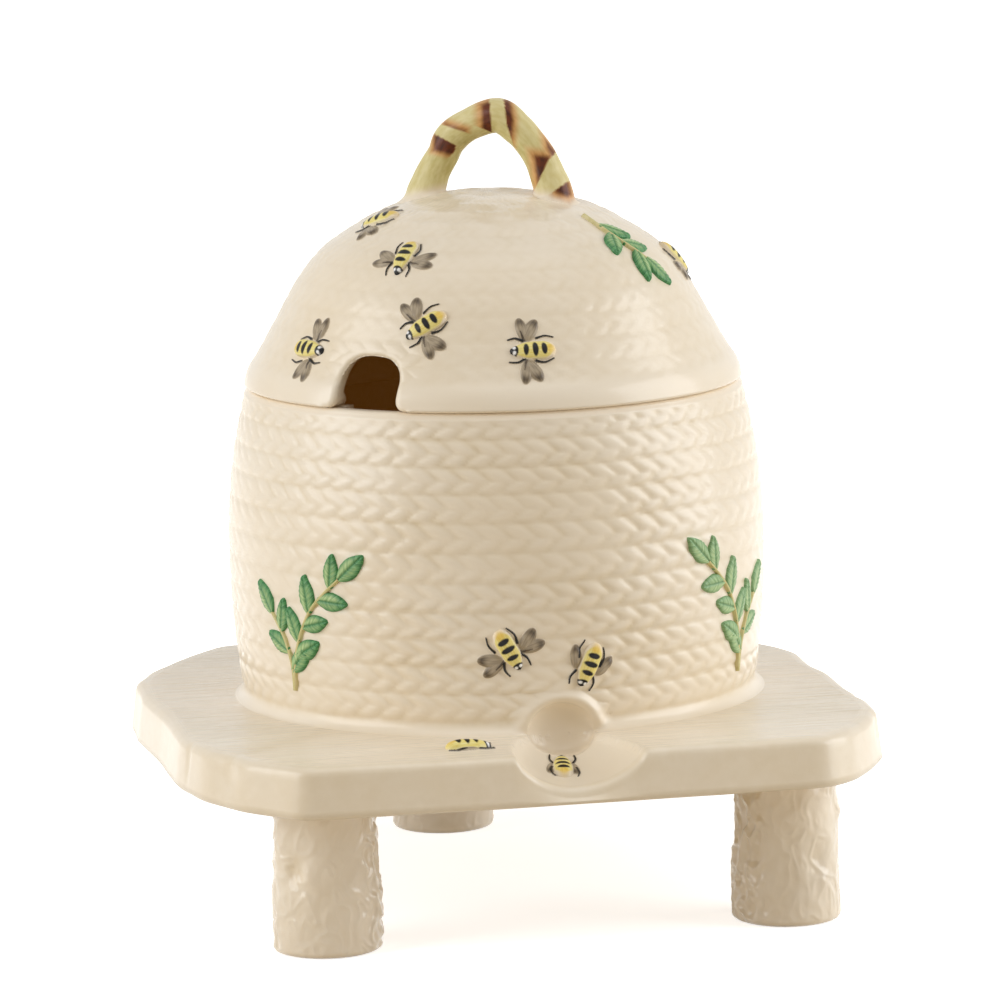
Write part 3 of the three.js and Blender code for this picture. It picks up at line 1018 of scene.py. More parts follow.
@dataclass
class Leg:
    """A stub of branch with the bark on, moulded in china."""

    name: str
    node: str
    seed: float
    marks: tuple[Mark, ...]
    rough_sides: tuple[RoughSide, ...]
    bark: float = 0.35
    ridge: float = 0.55
    ridge_size: float = 2.6
    calm_bark: float = 0.26
    lump_sizes: Pair = (7.5, 3.6)
    fold_sway: float = 2.2
    fold_size: float = 6.0
    fine_size: float = 1.5
    pooling_and_shade_depth: float = 0.9
    rough_span: Pair = (1.35, 0.6)
    foot_rounding: float = 1.3
    root_fillet: float = 0.7
    taper: float = 0.8
    columns: int = 260
    rows: int = 110

    @staticmethod
    def turn_from(bearing: Array, middle: float) -> Array:
        """How many degrees each bearing is from a middle one, from -180 to 180."""
        return (bearing - middle + 180) % 360 - 180

    def bark_relief(self, points: Array, bearing: Array) -> Array:
        """The bark: soft lumps all round, and folded ridges on the rough sides.

        Args:
            points: points on the leg.
            bearing: the bearing of each point in degrees.

        Returns:
            How far each point moves out.
        """
        shifted = points + self.seed
        broad, small = self.lump_sizes
        soft = lumps(shifted * np.array([1.0, 1.0, 0.6]), broad) + 0.4 * lumps(shifted, small)
        sway = self.fold_sway * lumps(shifted, self.fold_size)[:, None]
        fold = shifted * np.array([1.0, 1.0, 0.62]) + sway
        ridges = 0.5 - 2.6 * np.abs(lumps(fold, self.ridge_size))
        fine = 0.3 * lumps(shifted, self.fine_size)
        rough = np.full(len(points), self.calm_bark)
        for side in self.rough_sides:
            away = np.abs(self.turn_from(bearing, side.bearing))
            outer, inner = (side.half_width * share for share in self.rough_span)
            rough = np.maximum(rough, side.strength * ease(away, outer, inner))
        return self.bark * soft + self.ridge * rough * (np.maximum(ridges, -0.6) + fine)

    def build(self, material: Material) -> None:
        """Turns the stub and carves its bark.

        Args:
            material: the glazed china.
        """
        low, high = (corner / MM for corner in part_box(self.node))
        axis = ((low.x + high.x) / 2, (low.y + high.y) / 2)
        height = high.z - low.z
        foot = (high.x - low.x) / 2
        rise = np.linspace(0, 1, self.rows)
        up = low.z + height * rise
        radius = foot - self.taper * ease(rise, 0.0, 0.9)
        edge = np.clip(self.foot_rounding - height * rise, 0, None)
        radius = radius - self.foot_rounding + np.sqrt(self.foot_rounding**2 - edge**2)
        section = np.column_stack([radius, up])
        section = np.vstack([[0.0, low.z + 0.4], [radius[0] - 2.2, low.z + 0.35], section, [0.0, high.z]])
        tags = np.array([-1.0, -1.0, *rise, 2.0])
        leg = turned(self.name, section, tags, self.columns, axis)
        points = points_of(leg)
        share = read_values(leg, "row")
        side = (share >= 0) & (share <= 1)
        offset = points - np.array([*axis, 0.0])
        reach = np.maximum(np.hypot(offset[:, 0], offset[:, 1]), 1e-6)
        outward = offset / reach[:, None] * np.array([1.0, 1.0, 0.0])
        bearing = np.degrees(np.arctan2(offset[:, 0], -offset[:, 1]))
        bark = self.bark_relief(points, bearing)
        for mark in self.marks:
            across = self.turn_from(bearing, mark.bearing) * math.radians(1) * reach
            away = np.hypot(across, (share - mark.up_share) * height * 0.75) / mark.size
            bark -= mark.depth * np.exp(-(away**2))
        root = np.clip((share - 1) * height + self.root_fillet, 0, None)
        flare = self.root_fillet - np.sqrt(np.maximum(self.root_fillet**2 - root**2, 0.0))
        moved = points + outward * (bark * ease(share, 0.0, 0.05) + flare)[:, None]
        move_points(leg, np.where(side[:, None], moved, points))
        # darker in the bark's hollows: partly pooled glaze, partly painted shade
        write_values(leg, "hollow", np.where(side, np.clip(-bark / self.pooling_and_shade_depth, 0, 1), 0.0))
        hand_over(leg, material, Body.POT, Slot.CREAM, self.node)


@dataclass
class Lid:
    """The hollow dome with its plain rim, the flange that seats it, and the spoon notch."""

    hive: Hive
    radius: float = 51.9
    wall: float = 4.0
    rim_band: float = 4.8
    rim_round: float = 1.2
    coil_pitch: float = 5.3
    coil_count: int = 12
    coil_depth: float = 0.06
    strand_depth: float = 0.16
    strands: int = 62
    flange_out: float = 47.0
    flange_wall: float = 3.0
    flange_depth: float = 5.0
    notch_bearing: float = -43.0
    notch_width: float = 14.2
    notch_height: float = 10.6
    notch_flare: float = 2.4
    lip: float = 1.3
    shelf: float = 49.5
    inside_start: float = 5.5
    flange_round: float = 0.7
    notch_shoulder: float = 0.92
    notch_power: float = 0.78
    carve_room: float = 4.0
    pooling_and_shade: float = 0.45
    columns: int = 480
    outline_shares: tuple[Pair, ...] = (
        (1.0, 0.0), (0.985, 0.08), (0.94, 0.18), (0.86, 0.365), (0.78, 0.545), (0.68, 0.7),
        (0.55, 0.815), (0.415, 0.905), (0.264, 0.96), (0.12, 0.99), (0.0, 1.0),
    )

    def __post_init__(self) -> None:
        """Measures the outer wall."""
        size = np.array([self.radius, self.hive.crown - self.hive.seam])
        shares = curve_through(list(self.outline_shares), 12)
        outline = np.maximum(shares, 0.0) * size + np.array([0.0, self.hive.seam])
        valleys = tuple(self.rim_band + self.coil_pitch * coil for coil in range(self.coil_count + 1))
        self.plait = Plait(valleys, self.strands, self.coil_depth, self.strand_depth, worn_share=0.7)
        self.outer = DomeWall(self.hive, outline, self.plait)

    def outline(self) -> tuple[Array, Array]:
        """The section from the crown down the outside, round the rim and flange and up the inside.

        Returns:
            Radius and height of each point, and its run on the outer wall or -1.
        """
        runs = np.concatenate([np.linspace(self.outer.length, self.rim_band, 96),
                               np.linspace(self.rim_band, self.rim_round, 5)[1:]])
        outside = self.outer.along(runs)[:, :2]
        outside[0, 0] = 0.0
        seam = self.hive.seam
        turn = np.radians(np.linspace(0, 90, 6))[1:, None]
        corner = np.array([[self.radius - self.rim_round, seam + self.rim_round]])
        rim = corner + self.rim_round * np.hstack([np.cos(turn), -np.sin(turn)])
        inner = self.flange_out - self.flange_wall
        low = seam - self.flange_depth
        soft = self.flange_round
        flange = np.array([
            [self.flange_out + soft, seam + 0.05], [self.flange_out, seam - soft],
            [self.flange_out, low + soft], [self.flange_out - soft / 3, low + soft / 3],
            [self.flange_out - soft, low], [inner + soft, low], [inner + soft / 3, low + soft / 3],
            [inner, low + soft], [inner, seam],
        ])
        shelf = np.array([[self.shelf, seam]])
        climb = np.linspace(self.inside_start, self.outer.length, 22)
        placed = self.outer.along(climb)
        inside = placed[:, :2] - placed[:, 2:] * self.wall
        inside[:, 0] = np.maximum(inside[:, 0], 0.0)
        inside[-1] = [0.0, self.hive.crown - self.wall]
        rest = np.vstack([rim, shelf, flange, inside])
        return np.vstack([outside, rest]), np.concatenate([runs, np.full(len(rest), -1.0)])

    def notch_line(self) -> Array:
        """The notch's edge as seen from in front of it: across and up, from left to right.

        Returns:
            The points of the edge.
        """
        half, flare = self.notch_width / 2, self.notch_flare
        arc = np.radians(np.linspace(0, 90, 9))
        foot = np.column_stack([-half - flare + flare * np.sin(arc), flare - flare * np.cos(arc)])
        over = np.radians(np.linspace(180, 90, 17))
        power = self.notch_power
        spring = self.notch_height - half * self.notch_shoulder
        arch = np.column_stack([
            half * np.sign(np.cos(over)) * np.abs(np.cos(over)) ** power,
            spring + (self.notch_height - spring) * np.sin(over) ** power,
        ])
        left = np.vstack([foot, arch])
        return np.vstack([left, left[-2::-1] * np.array([-1.0, 1.0])])

    def cutter(self) -> Object:
        """The block that cuts the notch out of the rim and the flange.

        Returns:
            The block in its place.
        """
        line = self.notch_line()
        below = self.flange_depth + 2
        half = self.notch_width / 2
        edge = np.vstack([line, [half, -0.01], [half, -below], [-half, -below], [-half, -0.01]])
        deselect_all()
        bpy.ops.mesh.primitive_circle_add(vertices=len(edge), radius=MM, fill_type="NGON")
        block = bpy.context.object
        depth = self.radius * 0.55
        flat = np.column_stack([edge[:, 0], np.full(len(edge), -self.radius - 3), edge[:, 1]])
        move_points(block, flat)
        switch_to("EDIT")
        bpy.ops.mesh.select_all(action="SELECT")
        bpy.ops.mesh.extrude_region_move(TRANSFORM_OT_translate={"value": (0, depth * MM, 0)})
        bpy.ops.mesh.select_all(action="SELECT")
        bpy.ops.mesh.normals_make_consistent(inside=False)
        switch_to("OBJECT")
        turn = Matrix.Rotation(math.radians(self.notch_bearing), 4, "Z")
        block.data.transform(turn)
        move_points(block, points_of(block) + np.array([self.hive.x, self.hive.y, self.hive.seam]))
        return block

    def soften_notch(self, lid: Object) -> None:
        """Rounds both edges of the notch, by drawing the walls in beside it.

        Args:
            lid: the cut lid.
        """
        points = points_of(lid)
        bearing = self.hive.bearing(points) - math.radians(self.notch_bearing)
        across = self.hive.reach(points) * np.sin(bearing)
        ahead = self.hive.reach(points) * np.cos(bearing) > 0
        up = points[:, 2] - self.hive.seam
        place = np.column_stack([across, up])
        line = self.notch_line()
        away = np.full(len(points), -NOWHERE)
        for start, end in zip(line, line[1:]):
            away = np.minimum(away, off_line(place, start, end))
        near = np.clip(self.lip - away, 0.0, self.lip) * (ahead & (up > 0.02))
        draw = self.lip - np.sqrt(self.lip**2 - near**2)
        run = np.interp(points[:, 2], self.outer.outline[:, 1], self.outer.runs)
        crest = self.outer.along(run)[:, 0]
        middle = crest - self.wall / 2
        reach = self.hive.reach(points)
        side = np.clip((reach - middle) / (self.wall / 2), -1.0, 1.0)
        moved = self.hive.around(self.hive.bearing(points), reach - side * draw, points[:, 2])
        move_points(lid, np.where((draw > 0)[:, None], moved, points))

    def build(self, material: Material) -> None:
        """Turns the dome, presses its coils and cuts the notch.

        Args:
            material: the glazed china.
        """
        section, tags = self.outline()
        lid = turned("domed_lid", section, tags, self.columns, (self.hive.x, self.hive.y))
        middle = face_centres(lid)
        turn = self.hive.bearing(middle) - math.radians(self.notch_bearing)
        beside = np.abs(self.hive.reach(middle) * np.sin(turn)) < self.notch_width / 2 + self.carve_room
        beside &= (np.cos(turn) > 0) & (middle[:, 2] < self.hive.seam + self.notch_height + 2.5)
        select_faces(lid, beside & (middle[:, 2] > self.hive.seam - 1))
        bpy.ops.mesh.subdivide(number_cuts=2)
        switch_to("OBJECT")
        block = self.cutter()
        apply_modifier(lid, "BOOLEAN", object=block, operation="DIFFERENCE", solver="EXACT")
        bpy.data.objects.remove(block)
        close_seams(lid)
        points = points_of(lid)
        run, outer = self.outer.run_of(points)
        bearing = self.hive.bearing(points)
        relief = self.outer.ground(bearing, run)
        carved = self.outer.place(bearing, run, relief)
        move_points(lid, np.where(outer[:, None], carved, points))
        depth = self.coil_depth + self.strand_depth
        # darker in the pressed hollows: partly pooled glaze, partly painted shade
        write_values(lid, "hollow", np.where(outer, self.pooling_and_shade * np.clip(-relief / depth, 0, 1), 0.0))
        # marks the inner faces, which get a faint painted amber glow
        inner = (self.hive.reach(points) < self.flange_out + 0.2) & ~outer
        write_values(lid, "inside", inner.astype(float))
        self.soften_notch(lid)
        hand_over(lid, material, Body.LID, Slot.CREAM, "lid_dome")


# Raised ornaments: sheets shaped flat by formula, then laid on the china


@dataclass(frozen=True)
class WallSpot:
    """Where an ornament is stuck on a wall; its turn is anticlockwise, in degrees."""

    name: str
    node: str
    bearing: float
    run_share: float
    turn: float
    hand: int = 1


@dataclass(frozen=True)
class BoardSpot:
    """Where an ornament is stuck on the slab; its turn is anticlockwise, in degrees."""

    name: str
    node: str
    x: float
    y: float
    turn: float


@dataclass(frozen=True)
class Oval:
    """An oval in an ornament's plane, its length along a heading in degrees from +X."""

    x: float
    y: float
    half_length: float
    half_width: float
    heading: float = 0.0

    def mirrored(self) -> "Oval":
        """The same oval on the other side of the middle line."""
        return Oval(-self.x, self.y, self.half_length, self.half_width, 180 - self.heading)

    def local(self, x: Array, y: Array) -> tuple[Array, Array]:
        """How far along and across the oval each place is, in mm from its middle.

        Args:
            x: places across.
            y: places along.

        Returns:
            Both distances.
        """
        turn = math.radians(self.heading)
        step_x, step_y = x - self.x, y - self.y
        along = step_x * math.cos(turn) + step_y * math.sin(turn)
        return along, step_y * math.cos(turn) - step_x * math.sin(turn)

    def inside(self, x: Array, y: Array) -> Array:
        """About how far inside the oval's edge each place is, in mm."""
        along, across = self.local(x, y)
        return (1 - np.hypot(along / self.half_length, across / self.half_width)) * self.half_width


@dataclass(frozen=True)
class Stroke:
    """A brush stroke through a few points, with round ends, that thins towards its end."""

    points: tuple[Pair, ...]
    half_width: float
    end_share: float = 0.6

    def inside(self, x: Array, y: Array) -> Array:
        """How far inside the stroke's edge each place is, in mm.

        Args:
            x: places across.
            y: places along.

        Returns:
            The depths, below 0 outside.
        """
        line = curve_through(list(self.points), 5)
        widths = self.half_width * np.linspace(1.0, self.end_share, len(line))
        places = np.column_stack([x, y])
        deepest = np.full(len(x), NOWHERE)
        for start, end, width in zip(line, line[1:], widths):
            deepest = np.maximum(deepest, width - off_line(places, start, end))
        return deepest


@dataclass
class Bee:
    """A raised bee in one sheet: a domed body, thin wings, and legs drawn with a brush."""

    wings: Wings
    pitch: float = 0.15
    half_width: float = 1.95
    waist: float = -1.3
    tail: float = 3.4
    head_end: float = 5.9
    squareness: float = 2.5
    relief: float = 1.15
    wing_relief: float = 0.3
    leg_relief: float = 0.2
    side_halo: float = 0.14
    # the wider pale rim at the tail is partly unpainted china and partly a painted highlight
    tail_halo_and_highlight: float = 0.45
    bars: tuple[Oval, ...] = (
        Oval(0.05, -2.2, 1.25, 0.6, 4), Oval(0.0, -0.4, 1.5, 0.6, 1), Oval(0.0, 1.45, 1.25, 0.52, -3),
    )
    face: Oval = Oval(0.0, 3.95, 1.3, 1.0)
    eye: Oval = Oval(0.52, 3.8, 0.37, 0.33, 20)
    head_taper: float = 0.3
    amber_spot: Pair = (1.5, 0.4)
    amber_at: float = -3.6
    half_sheet: Pair = (5.0, 5.2)
    spread_half_sheet: Pair = (7.8, 5.2)
    skin: float = 0.1
    legs: tuple[Stroke, ...] = (
        Stroke(((-2.2, -0.5), (-2.55, -2.3), (-1.8, -4.2)), 0.3),
        Stroke(((2.7, -1.0), (3.15, -2.8), (2.75, -4.5)), 0.28),
        Stroke(((-1.7, 1.8), (-2.4, 3.2), (-2.3, 4.9)), 0.32),
        Stroke(((2.2, 1.9), (2.8, 3.3), (2.5, 4.8)), 0.32),
    )
    spread_lobes: tuple[Oval, ...] = (Oval(4.65, 1.8, 2.65, 1.3, 10), Oval(4.4, 0.0, 2.7, 1.45, -30))
    swept_lobes: tuple[Oval, ...] = (Oval(3.3, -0.8, 2.6, 1.25, -66),)
    folded_lobes: tuple[Oval, ...] = (Oval(2.35, -0.7, 2.9, 1.0, -80),)
    wing_root: Stroke = Stroke(((1.6, 1.3), (2.6, 1.7), (4.2, 2.1)), 0.38, 0.25)

    def body_share(self, x: Array, y: Array) -> Array:
        """How far out in the body each place is: 0 at its middle and 1 at its edge.

        Args:
            x: places across.
            y: places along.

        Returns:
            The shares.
        """
        length = np.where(y < self.waist, self.tail, self.head_end)
        half_width = self.half_width * (1 - self.head_taper * ease(y, 1.2, self.head_end + self.waist))
        across, along = np.abs(x / half_width), np.abs((y - self.waist) / length)
        return (across**self.squareness + along**self.squareness) ** (1 / self.squareness)

    def master(self) -> Object:
        """Shapes the bee flat, its head towards +Y.

        Returns:
            The bee, with a value for each colour of its enamel.
        """
        spread = self.wings is Wings.SPREAD
        half_x, half_y = self.spread_half_sheet if spread else self.half_sheet
        steps = (int(2 * half_x / self.pitch), int(2 * half_y / self.pitch))
        bee, across, along = flat_sheet(f"bee_{self.wings.value}", *steps)
        x, y = across * half_x, along * half_y
        share = self.body_share(x, y)
        body = (1 - share) * self.half_width
        held = dict(zip(Wings, (self.spread_lobes, self.swept_lobes, self.folded_lobes)))
        right = held[self.wings]
        wing = np.full(len(x), NOWHERE)
        tip = np.zeros(len(x))
        brush = np.column_stack([x, y, np.zeros(len(x))])
        for lobe in (*right, *(oval.mirrored() for oval in right)):
            inside = lobe.inside(x, y)
            here = inside > wing
            length, width = lobe.local(x, y)
            wing = np.where(here, inside, wing)
            tip = np.where(here, length / lobe.half_length, tip)
            brush[:, 0] = np.where(here & (body < 0), width, brush[:, 0])
            brush[:, 1] = np.where(here & (body < 0), length, brush[:, 1])
        mirror = np.full(len(x), NOWHERE)
        if spread:
            mirror = np.maximum(self.wing_root.inside(x, y), self.wing_root.inside(-x, y))
        leg = np.maximum.reduce([stroke.inside(x, y) for stroke in self.legs])
        cover = np.maximum.reduce([body, wing, mirror, leg])
        dome = self.relief * np.sqrt(np.clip(1 - share**2, 0.0, 1.0))
        blade = self.wing_relief * ease(wing, -0.05, 0.7)
        limb = self.leg_relief * ease(np.maximum(leg, mirror), -0.05, 0.3)
        height = np.maximum.reduce([dome, blade, limb]) + self.skin
        height = (height + SINK) * ease(cover, -0.14, 0.04) - SINK
        move_points(bee, np.column_stack([x, y, height]))
        bars = np.maximum.reduce([bar.inside(x, y) for bar in self.bars])
        eyes = np.maximum(self.eye.inside(x, y), self.eye.inside(-x, y))
        free = ease(body, 0.02, -0.1)
        crisp = self.pitch * 0.5
        ink = np.maximum.reduce([bars, self.face.inside(x, y), np.where(body > 0, -1.0, leg)])
        # pale rim round the body, wider at the tail, where it is partly a painted highlight
        halo = self.side_halo + (self.tail_halo_and_highlight - self.side_halo) * ease(y, self.waist - 1, self.waist - 3)
        write_values(bee, "yellow", ease(body - halo, -0.12, 0.12))
        write_values(bee, "amber", 0.8 * ease(np.hypot(x, y - self.amber_at), *self.amber_spot))
        write_values(bee, "wing", ease(wing, -0.06, 0.14) * free * (0.8 + 0.2 * np.clip(tip, 0, 1)))
        smoke = 0.9 * ease(tip, 0.1, 0.7) * ease(wing, 0.0, 0.5)
        write_values(bee, "smoke", np.maximum(smoke, ease(mirror, -crisp, crisp)) * free)
        write_values(bee, "ink", ease(ink, -crisp, crisp))
        write_values(bee, "white", ease(eyes, -crisp, crisp))
        write_values(bee, "brush", brush)
        self.trim(bee, cover)
        return bee

    def trim(self, bee: Object, cover: Array) -> None:
        """Deletes the faces of the sheet that lie wholly outside the bee.

        Args:
            bee: the bee's sheet.
            cover: how far inside the bee each vertex is, in mm.
        """
        corners = np.empty(len(bee.data.loops), np.int32)
        bee.data.loops.foreach_get("vertex_index", corners)
        select_faces(bee, (cover[corners.reshape(-1, 4)] < -2 * self.pitch).all(axis=1))
        bpy.ops.mesh.delete(type="FACE")
        switch_to("OBJECT")

    @staticmethod
    def stick(
        master: Object, spot: WallSpot | BoardSpot, surface: "Wall | Slab", plumpness: float,
        material: Material, body: Body,
    ) -> None:
        """Copies a bee on to the china.

        Args:
            master: the flat bee.
            spot: where it goes.
            surface: the wall or the slab that carries it.
            plumpness: how much fatter than the master it is.
            material: its enamel.
            body: the loose part that carries it.
        """
        bee = copy_of(master, spot.name)
        flat = points_of(bee)
        flat[:, 2] = np.where(flat[:, 2] > 0, flat[:, 2] * plumpness, flat[:, 2])
        move_points(bee, surface.lay(flat, spot))
        hand_over(bee, material, body, Slot.BEE, spot.node)


@dataclass
class Leaf:
    """One raised leaf with a midrib, brushed in from its edges."""

    length: float = 8.5
    width: float = 4.1
    relief: float = 0.65
    widest_share: float = 0.45
    edge_share: float = 0.86
    vein_pitch: float = 1.15
    vein_lean: float = 0.9
    tip_power: float = 0.85
    rib_depth: float = 0.25
    rib_width: float = 0.22
    pale_at: float = 0.45
    pale_width: float = 0.33
    pale_right: float = 0.55
    steps: tuple[int, int] = (22, 40)

    def master(self) -> Object:
        """Shapes the leaf flat, from its base at the origin towards +Y.

        Returns:
            The leaf, with a value for each colour of its enamel.
        """
        leaf, across, along = flat_sheet("leaf", *self.steps)
        share = (along + 1) / 2
        power = math.log(0.5) / math.log(self.widest_share)
        swell = np.maximum(np.sin(math.pi * np.clip(share, 0, 1) ** power), 0.0)
        half = self.width / 2 * swell**self.tip_power
        side = np.clip(np.abs(across) / self.edge_share, 0.0, 1.0)
        skirt = np.clip((np.abs(across) - self.edge_share) / (1 - self.edge_share), 0.0, 1.0)
        x = np.sign(across) * (half * side + 0.12 * skirt * ease(half, 0.0, 0.5))
        y = self.length * share
        vein = np.cos(math.tau * (y - self.vein_lean * np.abs(x)) / self.vein_pitch)
        beside = ease(np.abs(x), 0.1, 0.5)
        height = self.relief * (0.35 + 0.65 * np.sqrt(1 - side**2)) + 0.05 * vein * beside
        height -= self.rib_depth * np.exp(-((x / self.rib_width) ** 2))
        height = (height + SINK) * (1 - skirt) * ease(half, 0.05, 0.5) - SINK
        move_points(leaf, np.column_stack([x, y, height]))
        reach = np.where(x > 0, self.pale_right, 1.0)
        pale = reach * np.exp(-(((side - self.pale_at) / self.pale_width) ** 2)) * ease(share, 0.95, 0.45)
        rib = np.exp(-((x / 0.17) ** 2)) * ease(share, 1.0, 0.6)
        write_values(leaf, "leaf", np.ones(len(x)))
        write_values(leaf, "pale", pale)
        write_values(leaf, "vein", np.maximum(rib, 0.4 * beside * np.clip(vein, 0, 1) ** 6))
        write_values(leaf, "brush", np.column_stack([y - self.vein_lean * np.abs(x), np.abs(x), x * 0]))
        close_seams(leaf)
        return leaf


@dataclass(frozen=True)
class Branch:
    """A branch of a sprig: its share of the rise, its bow as a share of its height, its side leaves."""

    rise_share: float
    bow: float
    side_leaves: int


@dataclass
class Sprig:
    """A leafy sprig, with leaves on alternate sides of bowed stems and one leaf at each tip."""

    rise: float
    branches: tuple[Branch, ...]
    leaf_length: float = 9.4
    leaf_angle: float = 46.0
    first_leaf: float = 0.28
    stem_width: float = 1.15
    stem_relief: float = 0.45
    stem_taper: float = 0.35
    skin: float = 0.12
    bend_shares: tuple[Pair, ...] = ((0, 0), (0.08, 0.35), (0.4, 0.7), (1, 1))
    # painted sheen: pales the leaves of a sprig on the lit right-hand side
    wash: float = 0.0

    def stem_line(self, branch: Branch, hand: int) -> Array:
        """The middle line of a branch, in the sprig's plane."""
        height = self.rise * branch.rise_share - self.leaf_length
        return curve_through(list(self.bend_shares), 24) * np.array([hand * branch.bow * height, height])

    def stem(self, line: Array) -> Object:
        """Shapes one stem, flat and half round.

        Args:
            line: the stem's middle line.

        Returns:
            The stem, with the values of its enamel.
        """
        sheet, across, along = flat_sheet("stem", 8, len(line) - 1)
        steps = np.gradient(line, axis=0)
        steps /= np.hypot(*steps.T)[:, None]
        index = (along + 1) / 2 * (len(line) - 1)
        known = np.column_stack([line, steps])
        x, y, east, north = (np.interp(index, np.arange(len(line)), column) for column in known.T)
        half = self.stem_width / 2 * (1 - self.stem_taper * index / len(line))
        height = self.stem_relief * np.sqrt(np.clip(1 - across**2, 0, 1)) + self.skin
        height = (height + SINK) * ease(np.abs(across), 1.0, 0.7) * ease(index, 0, 2) - SINK
        move_points(sheet, np.column_stack([x + north * half * across, y - east * half * across, height]))
        write_values(sheet, "stem", np.ones(len(x)))
        core = 0.75 * np.exp(-(((across + 0.1) / 0.42) ** 2))
        write_values(sheet, "stem_core", core)
        write_values(sheet, "brush", np.column_stack([across * half, index * 0.5, x * 0]))
        return sheet

    def leaf(self, master: Object, line: Array, share: float, angle: float, size: float) -> Object:
        """Copies a leaf on to a stem.

        Args:
            master: the flat leaf.
            line: the stem's middle line.
            share: where on the stem it sits.
            angle: its angle from the stem, in degrees, anticlockwise.
            size: its size as a share of the master's.

        Returns:
            The leaf in its place, still flat.
        """
        index = share * (len(line) - 1)
        near = min(int(index), len(line) - 2)
        root = line[near] + (line[near + 1] - line[near]) * (index - near)
        step = line[near + 1] - line[near]
        turn = math.atan2(step[1], step[0]) + math.radians(angle)
        heading = np.array([math.cos(turn), math.sin(turn)])
        base = root - heading * self.stem_width / 3
        twig = copy_of(master, "leaf")
        x, y, height = points_of(twig).T * size
        places = base + np.outer(y, heading) + np.outer(x, [heading[1], -heading[0]])
        move_points(twig, np.column_stack([places, height]))
        return twig

    def grow(self, master: Object, spot: WallSpot, wall: Wall, material: Material, body: Body) -> None:
        """Builds the sprig flat, leaf by leaf, and lays it on a wall.

        Args:
            master: the flat leaf.
            spot: where its root goes.
            wall: the wall that carries it.
            material: its enamel.
            body: the loose part that carries it.
        """
        pieces = []
        for branch in self.branches:
            line = self.stem_line(branch, spot.hand)
            pieces.append(self.stem(line))
            pieces.append(self.leaf(master, line, 1.0, 0.0, 1.0))
            for count in range(branch.side_leaves):
                share = self.first_leaf + (1 - self.first_leaf) * count / branch.side_leaves
                side = spot.hand * (1 if count % 2 else -1)
                size = 1.0 - 0.05 * (count % 3)
                pieces.append(self.leaf(master, line, share, side * self.leaf_angle, size))
        sprig = joined(pieces, spot.name)
        # painted sheen on the leaves, paler where the light washes over the right-hand side
        write_values(sprig, "wash", self.wash * read_values(sprig, "leaf"))
        move_points(sprig, wall.lay(points_of(sprig), spot))
        hand_over(sprig, material, body, Slot.LEAF, spot.node)


@dataclass(frozen=True)
class Patch:
    """A patch of brown enamel on the twig, as seen from the front; its corners run clockwise.

    Places are mm across and above the dome's top. The sharp edges are counted from the first corner.
    """

    corners: tuple[Pair, ...]
    sharp: tuple[int, ...]
    fade: float = 1.8
    strength: float = 1.0

    def cover(self, across: Array, up: Array, start: float, full: float) -> Array:
        """How much enamel lies at each place.

        Args:
            across: how far across each place is.
            up: how far above the dome's top each place is.
            start: how far inside a soft edge the enamel starts.
            full: how far inside a soft edge it is full.

        Returns:
            The cover, from 0 to 1.
        """
        ring = np.array([*self.corners, self.corners[0]])
        cover = np.ones(len(across))
        for edge, (near, far) in enumerate(zip(ring, ring[1:])):
            step = (far - near) / np.hypot(*(far - near))
            depth = step[1] * (across - near[0]) - step[0] * (up - near[1])
            soft = ease(depth, start, full)
            cover = np.minimum(cover, ease(depth, -0.12, 0.12) if edge in self.sharp else soft)
        return cover


